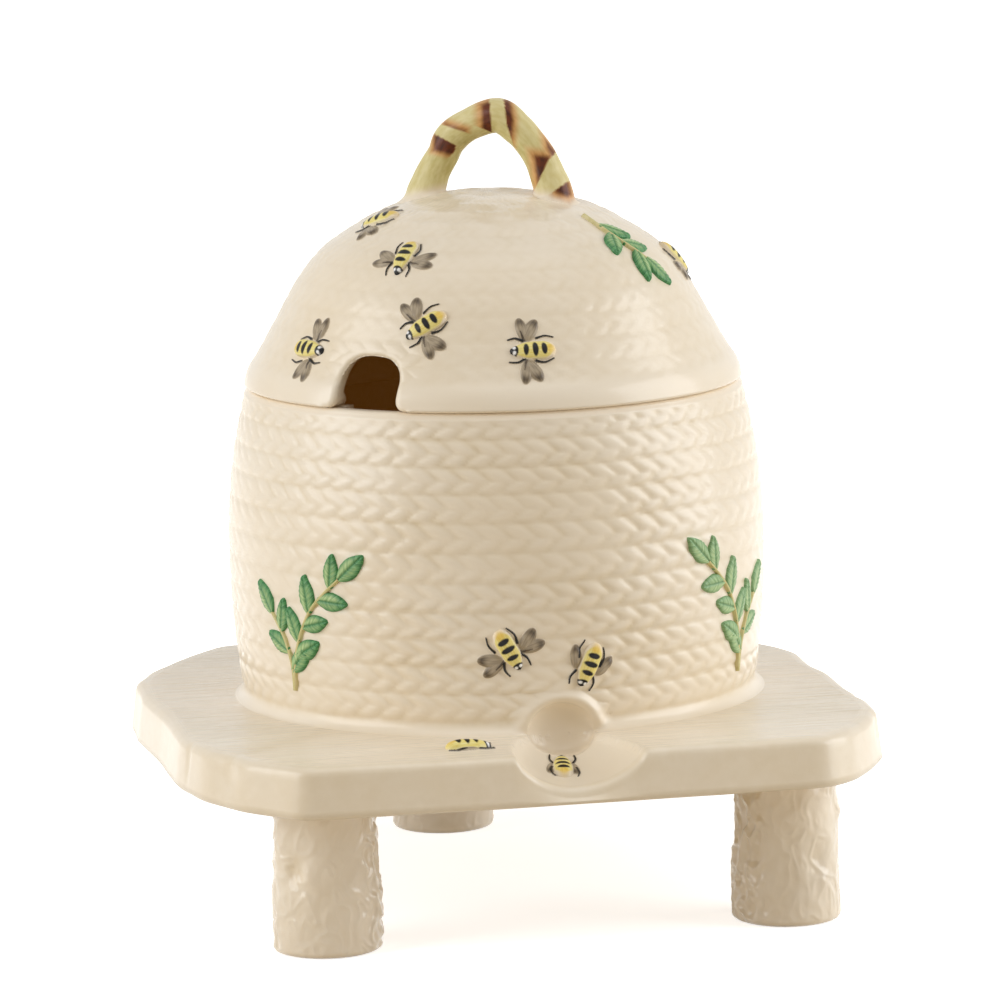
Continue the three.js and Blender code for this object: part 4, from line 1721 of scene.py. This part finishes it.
@dataclass
class TwigHandle:
    """The bent twig that arches over the dome, brushed with brown bark patches."""

    hive: Hive
    lid: Lid
    span: float = 28.0
    rise: float = 18.5
    turn: float = -30.0
    radius: float = 3.3
    waver: float = 0.11
    fillets: Pair = (2.2, 1.2)
    inner_fillet_share: float = 0.25
    sink: float = 0.5
    noise_radius: float = 2.2
    knot_size: float = 5.5
    knurl_size: float = 2.6
    moss_size: float = 3.5
    glaze_span: Pair = (0.2, 2.6)
    moss_span: Pair = (1.0, 4.0)
    columns: int = 56
    rows: int = 190
    line_shares: tuple[tuple[float, float, float], ...] = (
        (-0.53, -0.4, 1.3), (-0.5, -0.12, 1.25), (-0.475, 0.0, 1.18), (-0.42, 0.2, 1.05),
        (-0.35, 0.37, 1.01), (-0.29, 0.545, 1.07), (-0.15, 0.7, 1.02), (0.08, 0.81, 1.1),
        (0.235, 0.66, 1.02), (0.335, 0.495, 1.0), (0.41, 0.32, 1.04), (0.465, 0.12, 1.12),
        (0.5, -0.05, 1.22), (0.54, -0.45, 1.3),
    )
    view_lean: Pair = (0.32, 0.16)
    patches: tuple[Patch, ...] = (
        Patch(((-11.9, 11.0), (-7.0, 8.5), (-7.2, 7.4), (-8.3, 6.3), (-12.2, 7.2)), (0, 1, 2), 1.3),
        Patch(((-10.1, 13.9), (-4.4, 12.0), (-4.6, 11.2), (-9.6, 12.8)), (2,), 1.5, 0.7),
        Patch(((-1.5, 17.2), (0.5, 18.2), (0.9, 11.4), (-1.4, 12.2)), (1, 2), 2.4),
        Patch(((3.7, 18.6), (5.3, 18.4), (6.0, 14.0), (5.4, 9.3), (4.2, 13.0)), (3, 4), 1.6),
        Patch(((12.4, 10.5), (14.9, 7.7), (13.6, 6.2), (12.6, 8.3)), (1,), 2.0),
        Patch(((9.6, 7.0), (13.6, 6.8), (10.4, 0.5)), (1,), 2.2),
        Patch(((14.0, -0.9), (17.4, 1.5), (18.2, -1.4), (17.2, -2.2), (14.4, -1.4)), (0,), 1.8),
    )

    def dome_under(self, flat: Array) -> Array:
        """The height of the lid's skin under points in the twig's frame, from the dome's top.

        Args:
            flat: points across, in front of and above the dome's top, before the twig is turned.

        Returns:
            The heights, zero or less.
        """
        wall = self.lid.outer
        reach = np.hypot(flat[:, 0], flat[:, 1])
        run = np.interp(-reach, -wall.outline[:, 0], wall.runs)
        bearing = np.arctan2(flat[:, 0], -flat[:, 1]) + math.radians(self.turn)
        height = np.interp(-reach, -wall.outline[:, 0], wall.outline[:, 1])
        return height - self.hive.crown + wall.ground(bearing, run)

    def build(self, material: Material) -> None:
        """Bends the twig, spreads its feet on to the dome and paints it.

        Args:
            material: the twig's enamel.
        """
        twig, around, along = flat_sheet("twig_handle", self.columns, self.rows)
        line = curve_through(list(self.line_shares), 16) * np.array([self.span, self.rise, self.radius])
        runs = np.concatenate([[0.0], np.cumsum(np.hypot(*np.diff(line[:, :2], axis=0).T))])
        steps = np.gradient(line[:, :2], runs, axis=0)
        steps /= np.hypot(*steps.T)[:, None]
        run = (along + 1) / 2 * runs[-1]
        known = np.column_stack([line, steps])
        across, up, thick, east, north = (np.interp(run, runs, column) for column in known.T)
        angle = around * math.pi
        out, front = np.cos(angle), np.sin(angle)
        ring = self.noise_radius
        rough = np.column_stack([across + ring * out, up + ring * front, ring * front])
        waver = lumps(rough, self.knot_size) + 0.5 * lumps(rough, self.knurl_size)
        thick = thick + self.waver * waver
        thick *= np.where(np.abs(along) > 0.9999, 0.0, 1.0)
        flat = np.column_stack([across - north * out * thick, -front * thick, up + east * out * thick])
        middle = np.column_stack([across, np.zeros(len(across)), up])
        gap = flat[:, 2] - self.dome_under(flat)
        away = (flat - middle) * np.array([1.0, 1.0, 0.0])
        away /= np.maximum(np.hypot(away[:, 0], away[:, 1]), 1e-6)[:, None]
        outer = 0.5 + 0.5 * np.clip(away[:, 0] * np.sign(flat[:, 0]), -1.0, 1.0)
        fillet = np.where(flat[:, 0] < 0, *self.fillets)
        fillet = fillet * (self.inner_fillet_share + (1 - self.inner_fillet_share) * outer)
        near = np.clip(1 - gap / fillet, 0.0, 1.0)
        spread = fillet * (1 - np.sqrt(1 - near**2)) * np.minimum(thick, 1.0)
        flat += away * spread[:, None]
        flat[:, 2] = np.maximum(gap, -self.sink) + self.dome_under(flat)
        lean_across, lean_up = self.view_lean
        seen = flat[:, 0] + lean_across * flat[:, 1], flat[:, 2] + lean_up * flat[:, 1]
        write_values(twig, "glaze", ease(gap, *self.glaze_span))
        # olive paint in lumps, made heavier on the underside of the arch as painted shade
        olive_and_underside_shade = 0.5 - 0.5 * out + 0.5 * lumps(rough, self.moss_size)
        write_values(twig, "olive", ease(gap, *self.moss_span) * olive_and_underside_shade)
        tan = [patch.cover(*seen, -patch.fade, 0.4) for patch in self.patches]
        write_values(twig, "tan", np.maximum.reduce(tan))
        brown = [patch.strength * patch.cover(*seen, -0.3, 0.9) for patch in self.patches]
        write_values(twig, "brown", np.maximum.reduce(brown))
        write_values(twig, "brush", np.column_stack([angle * self.radius / 3, run, run * 0]))
        x, y = swung(flat, self.turn)
        places = [self.hive.x + x, self.hive.y + y, self.hive.crown + flat[:, 2]]
        move_points(twig, np.column_stack(places))
        close_seams(twig)
        hand_over(twig, material, Body.LID, Slot.TWIG, "lid_handle")


# Finishes


def linear(colour: str) -> tuple[float, float, float, float]:
    """Turns an sRGB hex colour to linear values with full opacity.

    Args:
        colour: the colour as #rrggbb.

    Returns:
        Red, green, blue and opacity.
    """
    parts = [int(colour[i : i + 2], 16) / 255 for i in (1, 3, 5)]
    red, green, blue = (
        part / 12.92 if part <= 0.04045 else ((part + 0.055) / 1.055) ** 2.4 for part in parts
    )
    return red, green, blue, 1.0


def per_mm(size: float) -> float:
    """A texture scale whose pattern repeats about every size mm on Object coordinates."""
    return 1.0 / (size * MM)


def add_node(
    tree: NodeTree, kind: str, settings: dict[str, object], links: dict[str | int, object],
) -> Node:
    """Adds a node with its settings, its values and its links.

    Args:
        tree: the node tree that it joins.
        kind: the node's type name.
        settings: values of the node's own properties.
        links: for each input socket, the value it holds or the socket it takes.

    Returns:
        The new node.
    """
    node = tree.nodes.new(kind)
    for name, value in settings.items():
        setattr(node, name, value)
    for name, value in links.items():
        if isinstance(value, NodeSocket):
            tree.links.new(value, node.inputs[name])
        else:
            node.inputs[name].default_value = value
    return node


MIX_A, MIX_B, MIX_COLOUR = 6, 7, 2


def new_material(name: str) -> tuple[Material, NodeTree]:
    """A material with an empty node tree, whose faint glow isn't sampled as a lamp.

    Args:
        name: the material's name.

    Returns:
        The material and its tree.
    """
    material = bpy.data.materials.new(name)
    material.cycles.emission_sampling = "NONE"
    material.use_nodes = True
    material.node_tree.nodes.clear()
    return material, material.node_tree


@dataclass(frozen=True)
class Layer:
    """One colour of enamel brushed on over what is under it, where a mesh value says."""

    value: str
    thin: str
    thick: str
    cover: float = 1.0


@dataclass(frozen=True)
class ChinaGlaze:
    """Thin cream parian china under a clear gloss glaze, slip-cast and dipped.

    To the eye: warm ivory, honey-coloured in the hollows partly from pooled glaze and partly as painted
    shade, with a faint painted amber glow on the inner faces and a wet shine over it.
    """

    body: str = "#f3e7d3"
    warm: str = "#eedfc6"
    # honey tint for the hollows: partly pooled glaze, partly painted shade in the creases
    pooled_glaze_and_shade: str = "#d4bf95"
    cloud_size: float = 22.0
    mottle_size: float = 3.0
    ripple_size: float = 2.2
    ripple_height: float = 0.02
    grain_height: float = 0.0
    grain_gap: float = 1.3
    shine: float = 0.35
    coat: float = 0.5
    coat_roughness: float = 0.17
    roughness: float = 0.42
    ior: float = 1.5
    cloud_span: Pair = (0.35, 0.65)
    warm_share: float = 0.7
    grain_stretch: float = 16.0
    grain_sway: float = 1.2
    bristles: tuple[float, float, float] = (3.2, 0.4, 1.0)
    load_span: Pair = (0.34, 0.66)
    # painted light: a faint amber glow on the inner faces, standing in for light through the thin china
    painted_glow_colour: str = "#c98220"
    glow: float = 0.02

    def surface(self, tree: NodeTree, layers: tuple[Layer, ...] = ()) -> None:
        """Builds the glaze, over any brushed enamel.

        Args:
            tree: the material's empty node tree.
            layers: enamel colours, from the lowest up.
        """
        place = add_node(tree, "ShaderNodeTexCoord", {}, {}).outputs["Object"]
        sizes = ((self.cloud_size, 2.0), (self.mottle_size, 3.0), (self.ripple_size, 2.0))
        cloud, mottle, wave = (
            add_node(
                tree, "ShaderNodeTexNoise", {},
                {"Vector": place, "Scale": per_mm(size), "Detail": detail},
            )
            for size, detail in sizes
        )
        low, high = self.cloud_span
        tone = add_node(
            tree, "ShaderNodeMapRange", {},
            {"Value": cloud.outputs["Fac"], "From Min": low, "From Max": high, "To Max": self.warm_share},
        )
        colour = add_node(
            tree, "ShaderNodeMix", {"data_type": "RGBA"},
            {0: tone.outputs["Result"], MIX_A: linear(self.body), MIX_B: linear(self.warm)},
        )
        # the hollow value darkens the colour: partly pooled glaze, partly painted shade in the creases
        hollow = add_node(tree, "ShaderNodeAttribute", {"attribute_name": "hollow"}, {})
        pool_and_shade = add_node(
            tree, "ShaderNodeMath", {"operation": "MULTIPLY"},
            {0: hollow.outputs["Fac"], 1: mottle.outputs["Fac"]},
        )
        colour = add_node(
            tree, "ShaderNodeMix", {"data_type": "RGBA"},
            {0: pool_and_shade.outputs["Value"], MIX_A: colour.outputs[MIX_COLOUR], MIX_B: linear(self.pooled_glaze_and_shade)},
        )
        paint = self.brushed(tree, colour.outputs[MIX_COLOUR], layers)
        normal = add_node(
            tree, "ShaderNodeBump", {},
            {"Height": wave.outputs["Fac"], "Distance": self.ripple_height * MM, "Strength": 1.0},
        ).outputs["Normal"]
        if self.grain_height:
            stretch = add_node(
                tree, "ShaderNodeMapping", {"vector_type": "TEXTURE"},
                {"Vector": place, "Scale": (self.grain_stretch, 1, 1)},
            )
            grain = add_node(
                tree, "ShaderNodeTexNoise", {},
                {
                    "Vector": stretch.outputs["Vector"], "Scale": per_mm(self.grain_gap), "Detail": 2.0,
                    "Distortion": self.grain_sway,
                },
            )
            combed = add_node(tree, "ShaderNodeAttribute", {"attribute_name": "combed"}, {})
            depth = add_node(
                tree, "ShaderNodeMath", {"operation": "MULTIPLY"},
                {0: grain.outputs["Fac"], 1: combed.outputs["Fac"]},
            )
            normal = add_node(
                tree, "ShaderNodeBump", {},
                {"Height": depth.outputs["Value"], "Distance": self.grain_height * MM, "Normal": normal},
            ).outputs["Normal"]
        # painted glow on the inner faces, which are no lamp
        inside = add_node(tree, "ShaderNodeAttribute", {"attribute_name": "inside"}, {})
        glow = add_node(
            tree, "ShaderNodeMath", {"operation": "MULTIPLY"}, {0: inside.outputs["Fac"], 1: self.glow},
        )
        glaze = add_node(
            tree, "ShaderNodeBsdfPrincipled", {},
            {
                "Base Color": paint, "Roughness": self.roughness, "IOR": self.ior,
                "Emission Color": linear(self.painted_glow_colour), "Emission Strength": glow.outputs["Value"],
                "Specular IOR Level": self.shine, "Coat Weight": self.coat,
                "Coat Roughness": self.coat_roughness, "Coat IOR": self.ior, "Normal": normal,
                "Coat Normal": normal,
            },
        )
        add_node(tree, "ShaderNodeOutputMaterial", {}, {"Surface": glaze.outputs["BSDF"]})

    def brushed(self, tree: NodeTree, under: NodeSocket, layers: tuple[Layer, ...]) -> NodeSocket:
        """Lays enamel colours over a colour, each with the streaks of its brush.

        Args:
            tree: the material's node tree.
            under: the colour under them.
            layers: the enamel colours, from the lowest up.

        Returns:
            The colour with all layers on it.
        """
        if not layers:
            return under
        flat = add_node(tree, "ShaderNodeAttribute", {"attribute_name": "brush"}, {})
        stroke = add_node(
            tree, "ShaderNodeMapping", {"vector_type": "POINT"},
            {"Vector": flat.outputs["Vector"], "Scale": self.bristles},
        )
        streak = add_node(
            tree, "ShaderNodeTexNoise", {},
            {"Vector": stroke.outputs["Vector"], "Scale": 1.0, "Detail": 2.0},
        )
        low, high = self.load_span
        load = add_node(
            tree, "ShaderNodeMapRange", {},
            {"Value": streak.outputs["Fac"], "From Min": low, "From Max": high},
        )
        colour = under
        for layer in layers:
            mask = add_node(tree, "ShaderNodeAttribute", {"attribute_name": layer.value}, {})
            cover = add_node(
                tree, "ShaderNodeMath", {"operation": "MULTIPLY", "use_clamp": True},
                {0: mask.outputs["Fac"], 1: layer.cover},
            )
            enamel = add_node(
                tree, "ShaderNodeMix", {"data_type": "RGBA"},
                {0: load.outputs["Result"], MIX_A: linear(layer.thin), MIX_B: linear(layer.thick)},
            )
            colour = add_node(
                tree, "ShaderNodeMix", {"data_type": "RGBA"},
                {0: cover.outputs["Value"], MIX_A: colour, MIX_B: enamel.outputs[MIX_COLOUR]},
            ).outputs[MIX_COLOUR]
        return colour


@dataclass(frozen=True)
class Finishes:
    """The finishes of the honey pot, all one china with a gloss glaze."""

    china: Material
    board: Material
    bark: Material
    twig: Material
    bee: Material
    leaf: Material

    @classmethod
    def mixed(cls) -> "Finishes":
        """Mixes the glaze and the enamels.

        Returns:
            The finished materials.
        """
        # To the eye: smooth ivory, honey-coloured between the strands of straw, partly from pooled glaze and
        # partly as painted crease shade, with soft lights and a faint painted glow inside.
        china, tree = new_material("cream parian china, clear gloss glaze")
        ChinaGlaze().surface(tree)
        # To the eye: the same ivory, ribbed like sawn wood, so that its lights break into lines, with
        # painted shade on the board's sides and, mixed with pooled glaze, in its grooves.
        board, tree = new_material("cream parian china, combed board grain")
        ChinaGlaze(grain_height=0.55, grain_gap=1.8, ripple_height=0.03).surface(tree)
        # To the eye: wetter than the rest, with small sharp lights on every fold, honey-coloured in the
        # bark's hollows partly from pooled glaze and partly as painted shade.
        bark, tree = new_material("cream parian china, thick glaze over cast bark")
        ChinaGlaze(ripple_height=0.05, coat=0.8, coat_roughness=0.05).surface(tree)
        enamel = ChinaGlaze(shine=0.12, coat=0.25)
        # To the eye: pale yellow-green, washed with olive that lies heavier under the arch as painted shade,
        # with dark brown patches that fade in tan.
        twig, tree = new_material("yellow-green twig enamel with brown bark patches")
        enamel.surface(tree, (
            Layer("glaze", "#e2d6a2", "#d8ca8e"),
            Layer("olive", "#cfc686", "#b4aa62", 0.55),
            Layer("tan", "#d99a55", "#bd7838", 0.85),
            Layer("brown", "#6b300b", "#451c05"),
        ))
        # To the eye: lemon and black bands, a white dot for an eye and smoky wings, a little matt; the wider
        # pale rim at the tail is partly a painted highlight.
        bee, tree = new_material("yellow, black and grey bee enamel")
        enamel.surface(tree, (
            Layer("wing", "#a8987d", "#786853"),
            Layer("smoke", "#5c4d3c", "#302820", 0.9),
            Layer("yellow", "#f4e9a2", "#ead573"),
            Layer("amber", "#f0ce62", "#e5ba4a"),
            Layer("ink", "#181512", "#080706"),
            Layer("white", "#f6f6f4", "#ffffff"),
        ))
        # To the eye: bottle green at the edges, worn pale between them, with darker veins; the sprigs on the
        # right are paled further by a painted sheen.
        leaf, tree = new_material("green leaf enamel brushed in from the edges")
        enamel.surface(tree, (
            Layer("leaf", "#5c9f62", "#2f6d42"),
            Layer("pale", "#cfdca0", "#93bd7e", 0.95),
            Layer("wash", "#c3d8ab", "#a3c48f"),
            Layer("vein", "#2f6c42", "#1f5634", 0.5),
            Layer("stem", "#e6dba9", "#d3c688"),
            Layer("stem_core", "#bdb566", "#a39c54", 0.5),
        ))
        return cls(china, board, bark, twig, bee, leaf)


@dataclass(frozen=True)
class Studio:
    """A pale floor, soft lamps at both sides and above, and the camera."""

    camera_at: tuple[float, float, float] = (-270.48, -1270.17, 281.68)
    yaw: float = -12.13
    pitch: float = 8.77
    roll: float = -1.25
    lens: float = 226.7
    aim: tuple[float, float, float] = (0.0, 0.0, 85.0)
    floor_colour: str = "#f4f2ee"
    floor_fleck: str = "#fbfaf8"
    fleck_size: float = 4.0
    floor_roughness: float = 0.6
    floor_bounce: str = "#d8cab0"
    floor_lift: float = 0.67
    shadow_span: Pair = (110.0, 330.0)
    fill: float = 0.25
    fill_colour: str = "#fff0da"
    lamp_colour: str = "#f6faff"
    lamps: tuple[tuple[str, float, float, float, float, float], ...] = (
        ("left softbox", -80, 21, 900, 700, 5.2),
        ("right softbox", 72, 17, 900, 700, 5.7),
        ("top softbox", 10, 78, 950, 800, 1.9),
    )

    def build(self) -> None:
        """Sets up the camera, the lamps, the world and the floor."""
        self.place_camera()
        for name, bearing, above, far, side, power in self.lamps:
            self.hang_lamp(name, bearing, above, far, side, power)
        self.light_world()
        self.lay_floor()
        bpy.context.scene.view_settings.view_transform = "Standard"

    def place_camera(self) -> None:
        """Puts the camera where the photograph was taken from."""
        data = bpy.data.cameras.new("camera")
        data.lens = self.lens
        data.sensor_width = 36.0
        data.clip_start = 0.05
        data.clip_end = 20.0
        camera = bpy.data.objects.new("camera", data)
        bpy.context.scene.collection.objects.link(camera)
        turn = Matrix.Rotation(math.radians(self.yaw), 4, "Z")
        turn = turn @ Matrix.Rotation(math.radians(90 - self.pitch), 4, "X")
        turn = turn @ Matrix.Rotation(math.radians(self.roll), 4, "Z")
        camera.matrix_world = Matrix.Translation(Vector(self.camera_at) * MM) @ turn
        bpy.context.scene.camera = camera

    def hang_lamp(
        self, name: str, bearing: float, above: float, far: float, side: float, power: float,
    ) -> None:
        """Hangs a square soft lamp that faces the object.

        Args:
            name: the lamp's name.
            bearing: its bearing from the front, in degrees.
            above: its angle above the horizon, in degrees.
            far: its distance in mm.
            side: its width in mm.
            power: its power in watts.
        """
        data = bpy.data.lights.new(name, "AREA")
        data.size = side * MM
        data.energy = power
        data.color = linear(self.lamp_colour)[:3]
        lamp = bpy.data.objects.new(name, data)
        bpy.context.scene.collection.objects.link(lamp)
        turn, rise = math.radians(bearing), math.radians(above)
        away = Vector(
            (math.sin(turn) * math.cos(rise), -math.cos(turn) * math.cos(rise), math.sin(rise))
        )
        lamp.location = (Vector(self.aim) + away * far) * MM
        lamp.rotation_euler = (-away).to_track_quat("-Z", "Y").to_euler()

    def light_world(self) -> None:
        """Gives the room a soft fill, and a white backdrop to the camera and to reflections."""
        world = bpy.data.worlds.new("studio")
        bpy.context.scene.world = world
        world.use_nodes = True
        tree = world.node_tree
        tree.nodes.clear()
        room = add_node(
            tree, "ShaderNodeBackground", {}, {"Color": linear(self.fill_colour), "Strength": self.fill},
        )
        white = add_node(tree, "ShaderNodeBackground", {}, {"Color": (1, 1, 1, 1), "Strength": 1.0})
        seen = add_node(
            tree, "ShaderNodeMixShader", {},
            {0: self.direct_view(tree), 1: room.outputs[0], 2: white.outputs[0]},
        )
        add_node(tree, "ShaderNodeOutputWorld", {}, {"Surface": seen.outputs[0]})

    def direct_view(self, tree: NodeTree) -> NodeSocket:
        """One for the camera's own rays, mirror rays and clear rays, and zero for the rest.

        Args:
            tree: the node tree that it joins.

        Returns:
            The socket that says so.
        """
        path = add_node(tree, "ShaderNodeLightPath", {}, {})
        both = add_node(
            tree, "ShaderNodeMath", {"operation": "ADD", "use_clamp": True},
            {0: path.outputs["Is Camera Ray"], 1: path.outputs["Is Glossy Ray"]},
        )
        all_three = add_node(
            tree, "ShaderNodeMath", {"operation": "ADD", "use_clamp": True},
            {0: both.outputs["Value"], 1: path.outputs["Is Transmission Ray"]},
        )
        return all_three.outputs["Value"]

    def lay_floor(self) -> None:
        """Lays the pale floor, which looks white but keeps the shadow under the object."""
        deselect_all()
        bpy.ops.mesh.primitive_plane_add(size=8.0, location=(0, 0, -0.05 * MM))
        floor = bpy.context.object
        floor.name = "studio_floor"
        # To the eye: plain white, with the object's soft shadow; it throws warm light back up.
        material, tree = new_material("matt white paper floor")
        place = add_node(tree, "ShaderNodeTexCoord", {}, {}).outputs["Object"]
        tooth = add_node(tree, "ShaderNodeTexNoise", {}, {"Vector": place, "Scale": per_mm(self.fleck_size)})
        tint = add_node(
            tree, "ShaderNodeMix", {"data_type": "RGBA"},
            {0: tooth.outputs["Fac"], MIX_A: linear(self.floor_colour), MIX_B: linear(self.floor_fleck)},
        )
        paper, bounce = (
            add_node(
                tree, "ShaderNodeBsdfDiffuse", {}, {"Color": colour, "Roughness": self.floor_roughness},
            )
            for colour in (tint.outputs[MIX_COLOUR], linear(self.floor_bounce))
        )
        away = add_node(tree, "ShaderNodeVectorMath", {"operation": "LENGTH"}, {0: place})
        near, far = self.shadow_span
        lift = add_node(
            tree, "ShaderNodeMapRange", {"interpolation_type": "SMOOTHSTEP"},
            {
                "Value": away.outputs["Value"], "From Min": near * MM, "From Max": far * MM,
                "To Min": self.floor_lift, "To Max": 1.0,
            },
        )
        glow = add_node(
            tree, "ShaderNodeEmission", {}, {"Color": (1, 1, 1, 1), "Strength": lift.outputs["Result"]},
        )
        lifted = add_node(tree, "ShaderNodeAddShader", {}, {0: paper.outputs[0], 1: glow.outputs[0]})
        seen = add_node(
            tree, "ShaderNodeMixShader", {},
            {0: self.direct_view(tree), 1: bounce.outputs[0], 2: lifted.outputs[0]},
        )
        add_node(tree, "ShaderNodeOutputMaterial", {}, {"Surface": seen.outputs[0]})
        floor.data.materials.append(material)


LEGS = (
    Leg(
        "leg_stub_front_left", "leg_front_left", 0.0,
        (Mark(-50, 0.57, 2.3, 0.9), Mark(-30, 0.55, 1.2, -0.3), Mark(75, 0.3, 4.5, -0.4)),
        (RoughSide(72, 34, 1.1), RoughSide(-100, 30, 0.5), RoughSide(170, 60, 0.9)),
    ),
    Leg(
        "leg_stub_front_right", "leg_front_right", 40.0,
        (Mark(72, 0.72, 2.2, -0.9), Mark(22, 0.42, 2.2, 0.5), Mark(30, 0.3, 1.8, -0.5)),
        (RoughSide(-74, 34, 1.2), RoughSide(50, 22, 0.35), RoughSide(170, 60, 0.9)),
    ),
    Leg(
        "leg_stub_back", "leg_back", 90.0,
        (Mark(-160, 0.5, 3.0, 1.0),),
        (RoughSide(150, 70, 0.9), RoughSide(-60, 30, 0.4)),
    ),
)
POT_BEES = (
    (WallSpot("bee_left_of_doorway", "bee_pot_left_of_door", -10, 0.27, -151), Wings.SPREAD),
    (WallSpot("bee_right_of_doorway", "bee_pot_right_of_door", 7, 0.21, 158), Wings.SWEPT),
    (WallSpot("bee_on_back", "bee_pot_back", 172, 0.62, 60), Wings.SPREAD),
)
LID_BEES = (
    WallSpot("lid_bee_near_handle", "bee_lid_near_handle", -79, 0.64, 130),
    WallSpot("lid_bee_upper", "bee_lid_upper", -43, 0.49, 180),
    WallSpot("lid_bee_left", "bee_lid_left", -65, 0.17, -90),
    WallSpot("lid_bee_above_notch", "bee_lid_above_notch", -30, 0.265, 125),
    WallSpot("lid_bee_front", "bee_lid_front", -2, 0.185, 90),
    WallSpot("lid_bee_right", "bee_lid_right", 76, 0.4, -160),
    WallSpot("lid_bee_back_left", "bee_lid_back_left", -142, 0.38, 35),
    WallSpot("lid_bee_back_right", "bee_lid_back_right", 150, 0.27, -70),
)
SLAB_BEE = BoardSpot("bee_on_slab", "bee_stand", -18.2, -61.5, -90)
DOORSTEP_BEE = BoardSpot("bee_on_doorstep", "bee_doorstep", 0.8, -62.25, -9)
POT_SPRIGS = (
    WallSpot("pot_sprig_left", "sprig_pot_left", -62, 0.1, -8, 1),
    WallSpot("pot_sprig_right", "sprig_pot_right", 52, 0.1, 6, -1),
    WallSpot("pot_sprig_back_left", "sprig_pot_back_left", -150, 0.1, 4, -1),
    WallSpot("pot_sprig_back_right", "sprig_pot_back_right", 132, 0.1, -4, 1),
)
LID_SPRIGS = (
    WallSpot("lid_sprig_front", "sprig_lid_front", 42, 0.66, 176, -1),
    WallSpot("lid_sprig_back", "sprig_lid_back", -176, 0.66, 170, 1),
)
PAINTED_SHEEN = 0.45
SLAB_PLUMPNESS = 1.4
DOORSTEP_PLUMPNESS = 1.25
SLAB_HALO = -0.05


def stick_bees(pot: Pot, slab: Slab, lid: Lid, material: Material) -> None:
    """Moulds the bees and sticks them on the pot, the lid and the slab.

    Args:
        pot: the pot that carries some of them.
        slab: the slab that carries two.
        lid: the lid that carries the rest.
        material: their enamel.
    """
    masters = {wings: Bee(wings).master() for wings in Wings}
    slab_bee = Bee(Wings.FOLDED, side_halo=SLAB_HALO, tail_halo_and_highlight=SLAB_HALO).master()
    for spot, wings in POT_BEES:
        Bee.stick(masters[wings], spot, pot.outer, 1.0, material, Body.POT)
    for spot in LID_BEES:
        Bee.stick(masters[Wings.SPREAD], spot, lid.outer, 1.0, material, Body.LID)
    Bee.stick(slab_bee, SLAB_BEE, slab, SLAB_PLUMPNESS, material, Body.POT)
    Bee.stick(masters[Wings.FOLDED], DOORSTEP_BEE, slab, DOORSTEP_PLUMPNESS, material, Body.POT)
    for master in (*masters.values(), slab_bee):
        bpy.data.objects.remove(master)


def stick_sprigs(pot: Pot, lid: Lid, material: Material) -> None:
    """Moulds a leaf, and grows the sprigs on the pot and on the lid from it.

    Args:
        pot: the pot that carries four of them.
        lid: the lid that carries two.
        material: their enamel.
    """
    leaf = Leaf().master()
    for spot in POT_SPRIGS:
        two = (Branch(1.0, 0.42, 6), Branch(0.68, -0.5, 3))
        # painted sheen for the sprigs on the right-hand side, where the light falls
        wash = PAINTED_SHEEN if spot.bearing > 0 else 0.0
        Sprig(36.0, two, wash=wash).grow(leaf, spot, pot.outer, material, Body.POT)
    for spot in LID_SPRIGS:
        Sprig(25.0, (Branch(1.0, 0.3, 4),)).grow(leaf, spot, lid.outer, material, Body.LID)
    bpy.data.objects.remove(leaf)


def main() -> None:
    """Builds the honey pot and its studio."""
    logging.basicConfig(level=logging.INFO, format="%(name)s: %(message)s")
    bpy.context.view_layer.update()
    Studio().build()
    finishes = Finishes.mixed()
    hive = Hive.from_frame()
    doorway = Doorway.from_frame(hive)
    pot = Pot(hive, doorway)
    pot.build(finishes.china)
    slab = Slab(hive, doorway)
    slab.build(finishes.board)
    for leg in LEGS:
        leg.build(finishes.bark)
    lid = Lid(hive)
    lid.build(finishes.china)
    TwigHandle(hive, lid).build(finishes.twig)
    stick_bees(pot, slab, lid, finishes.bee)
    stick_sprigs(pot, lid, finishes.leaf)


if __name__ == "__main__":
    main()
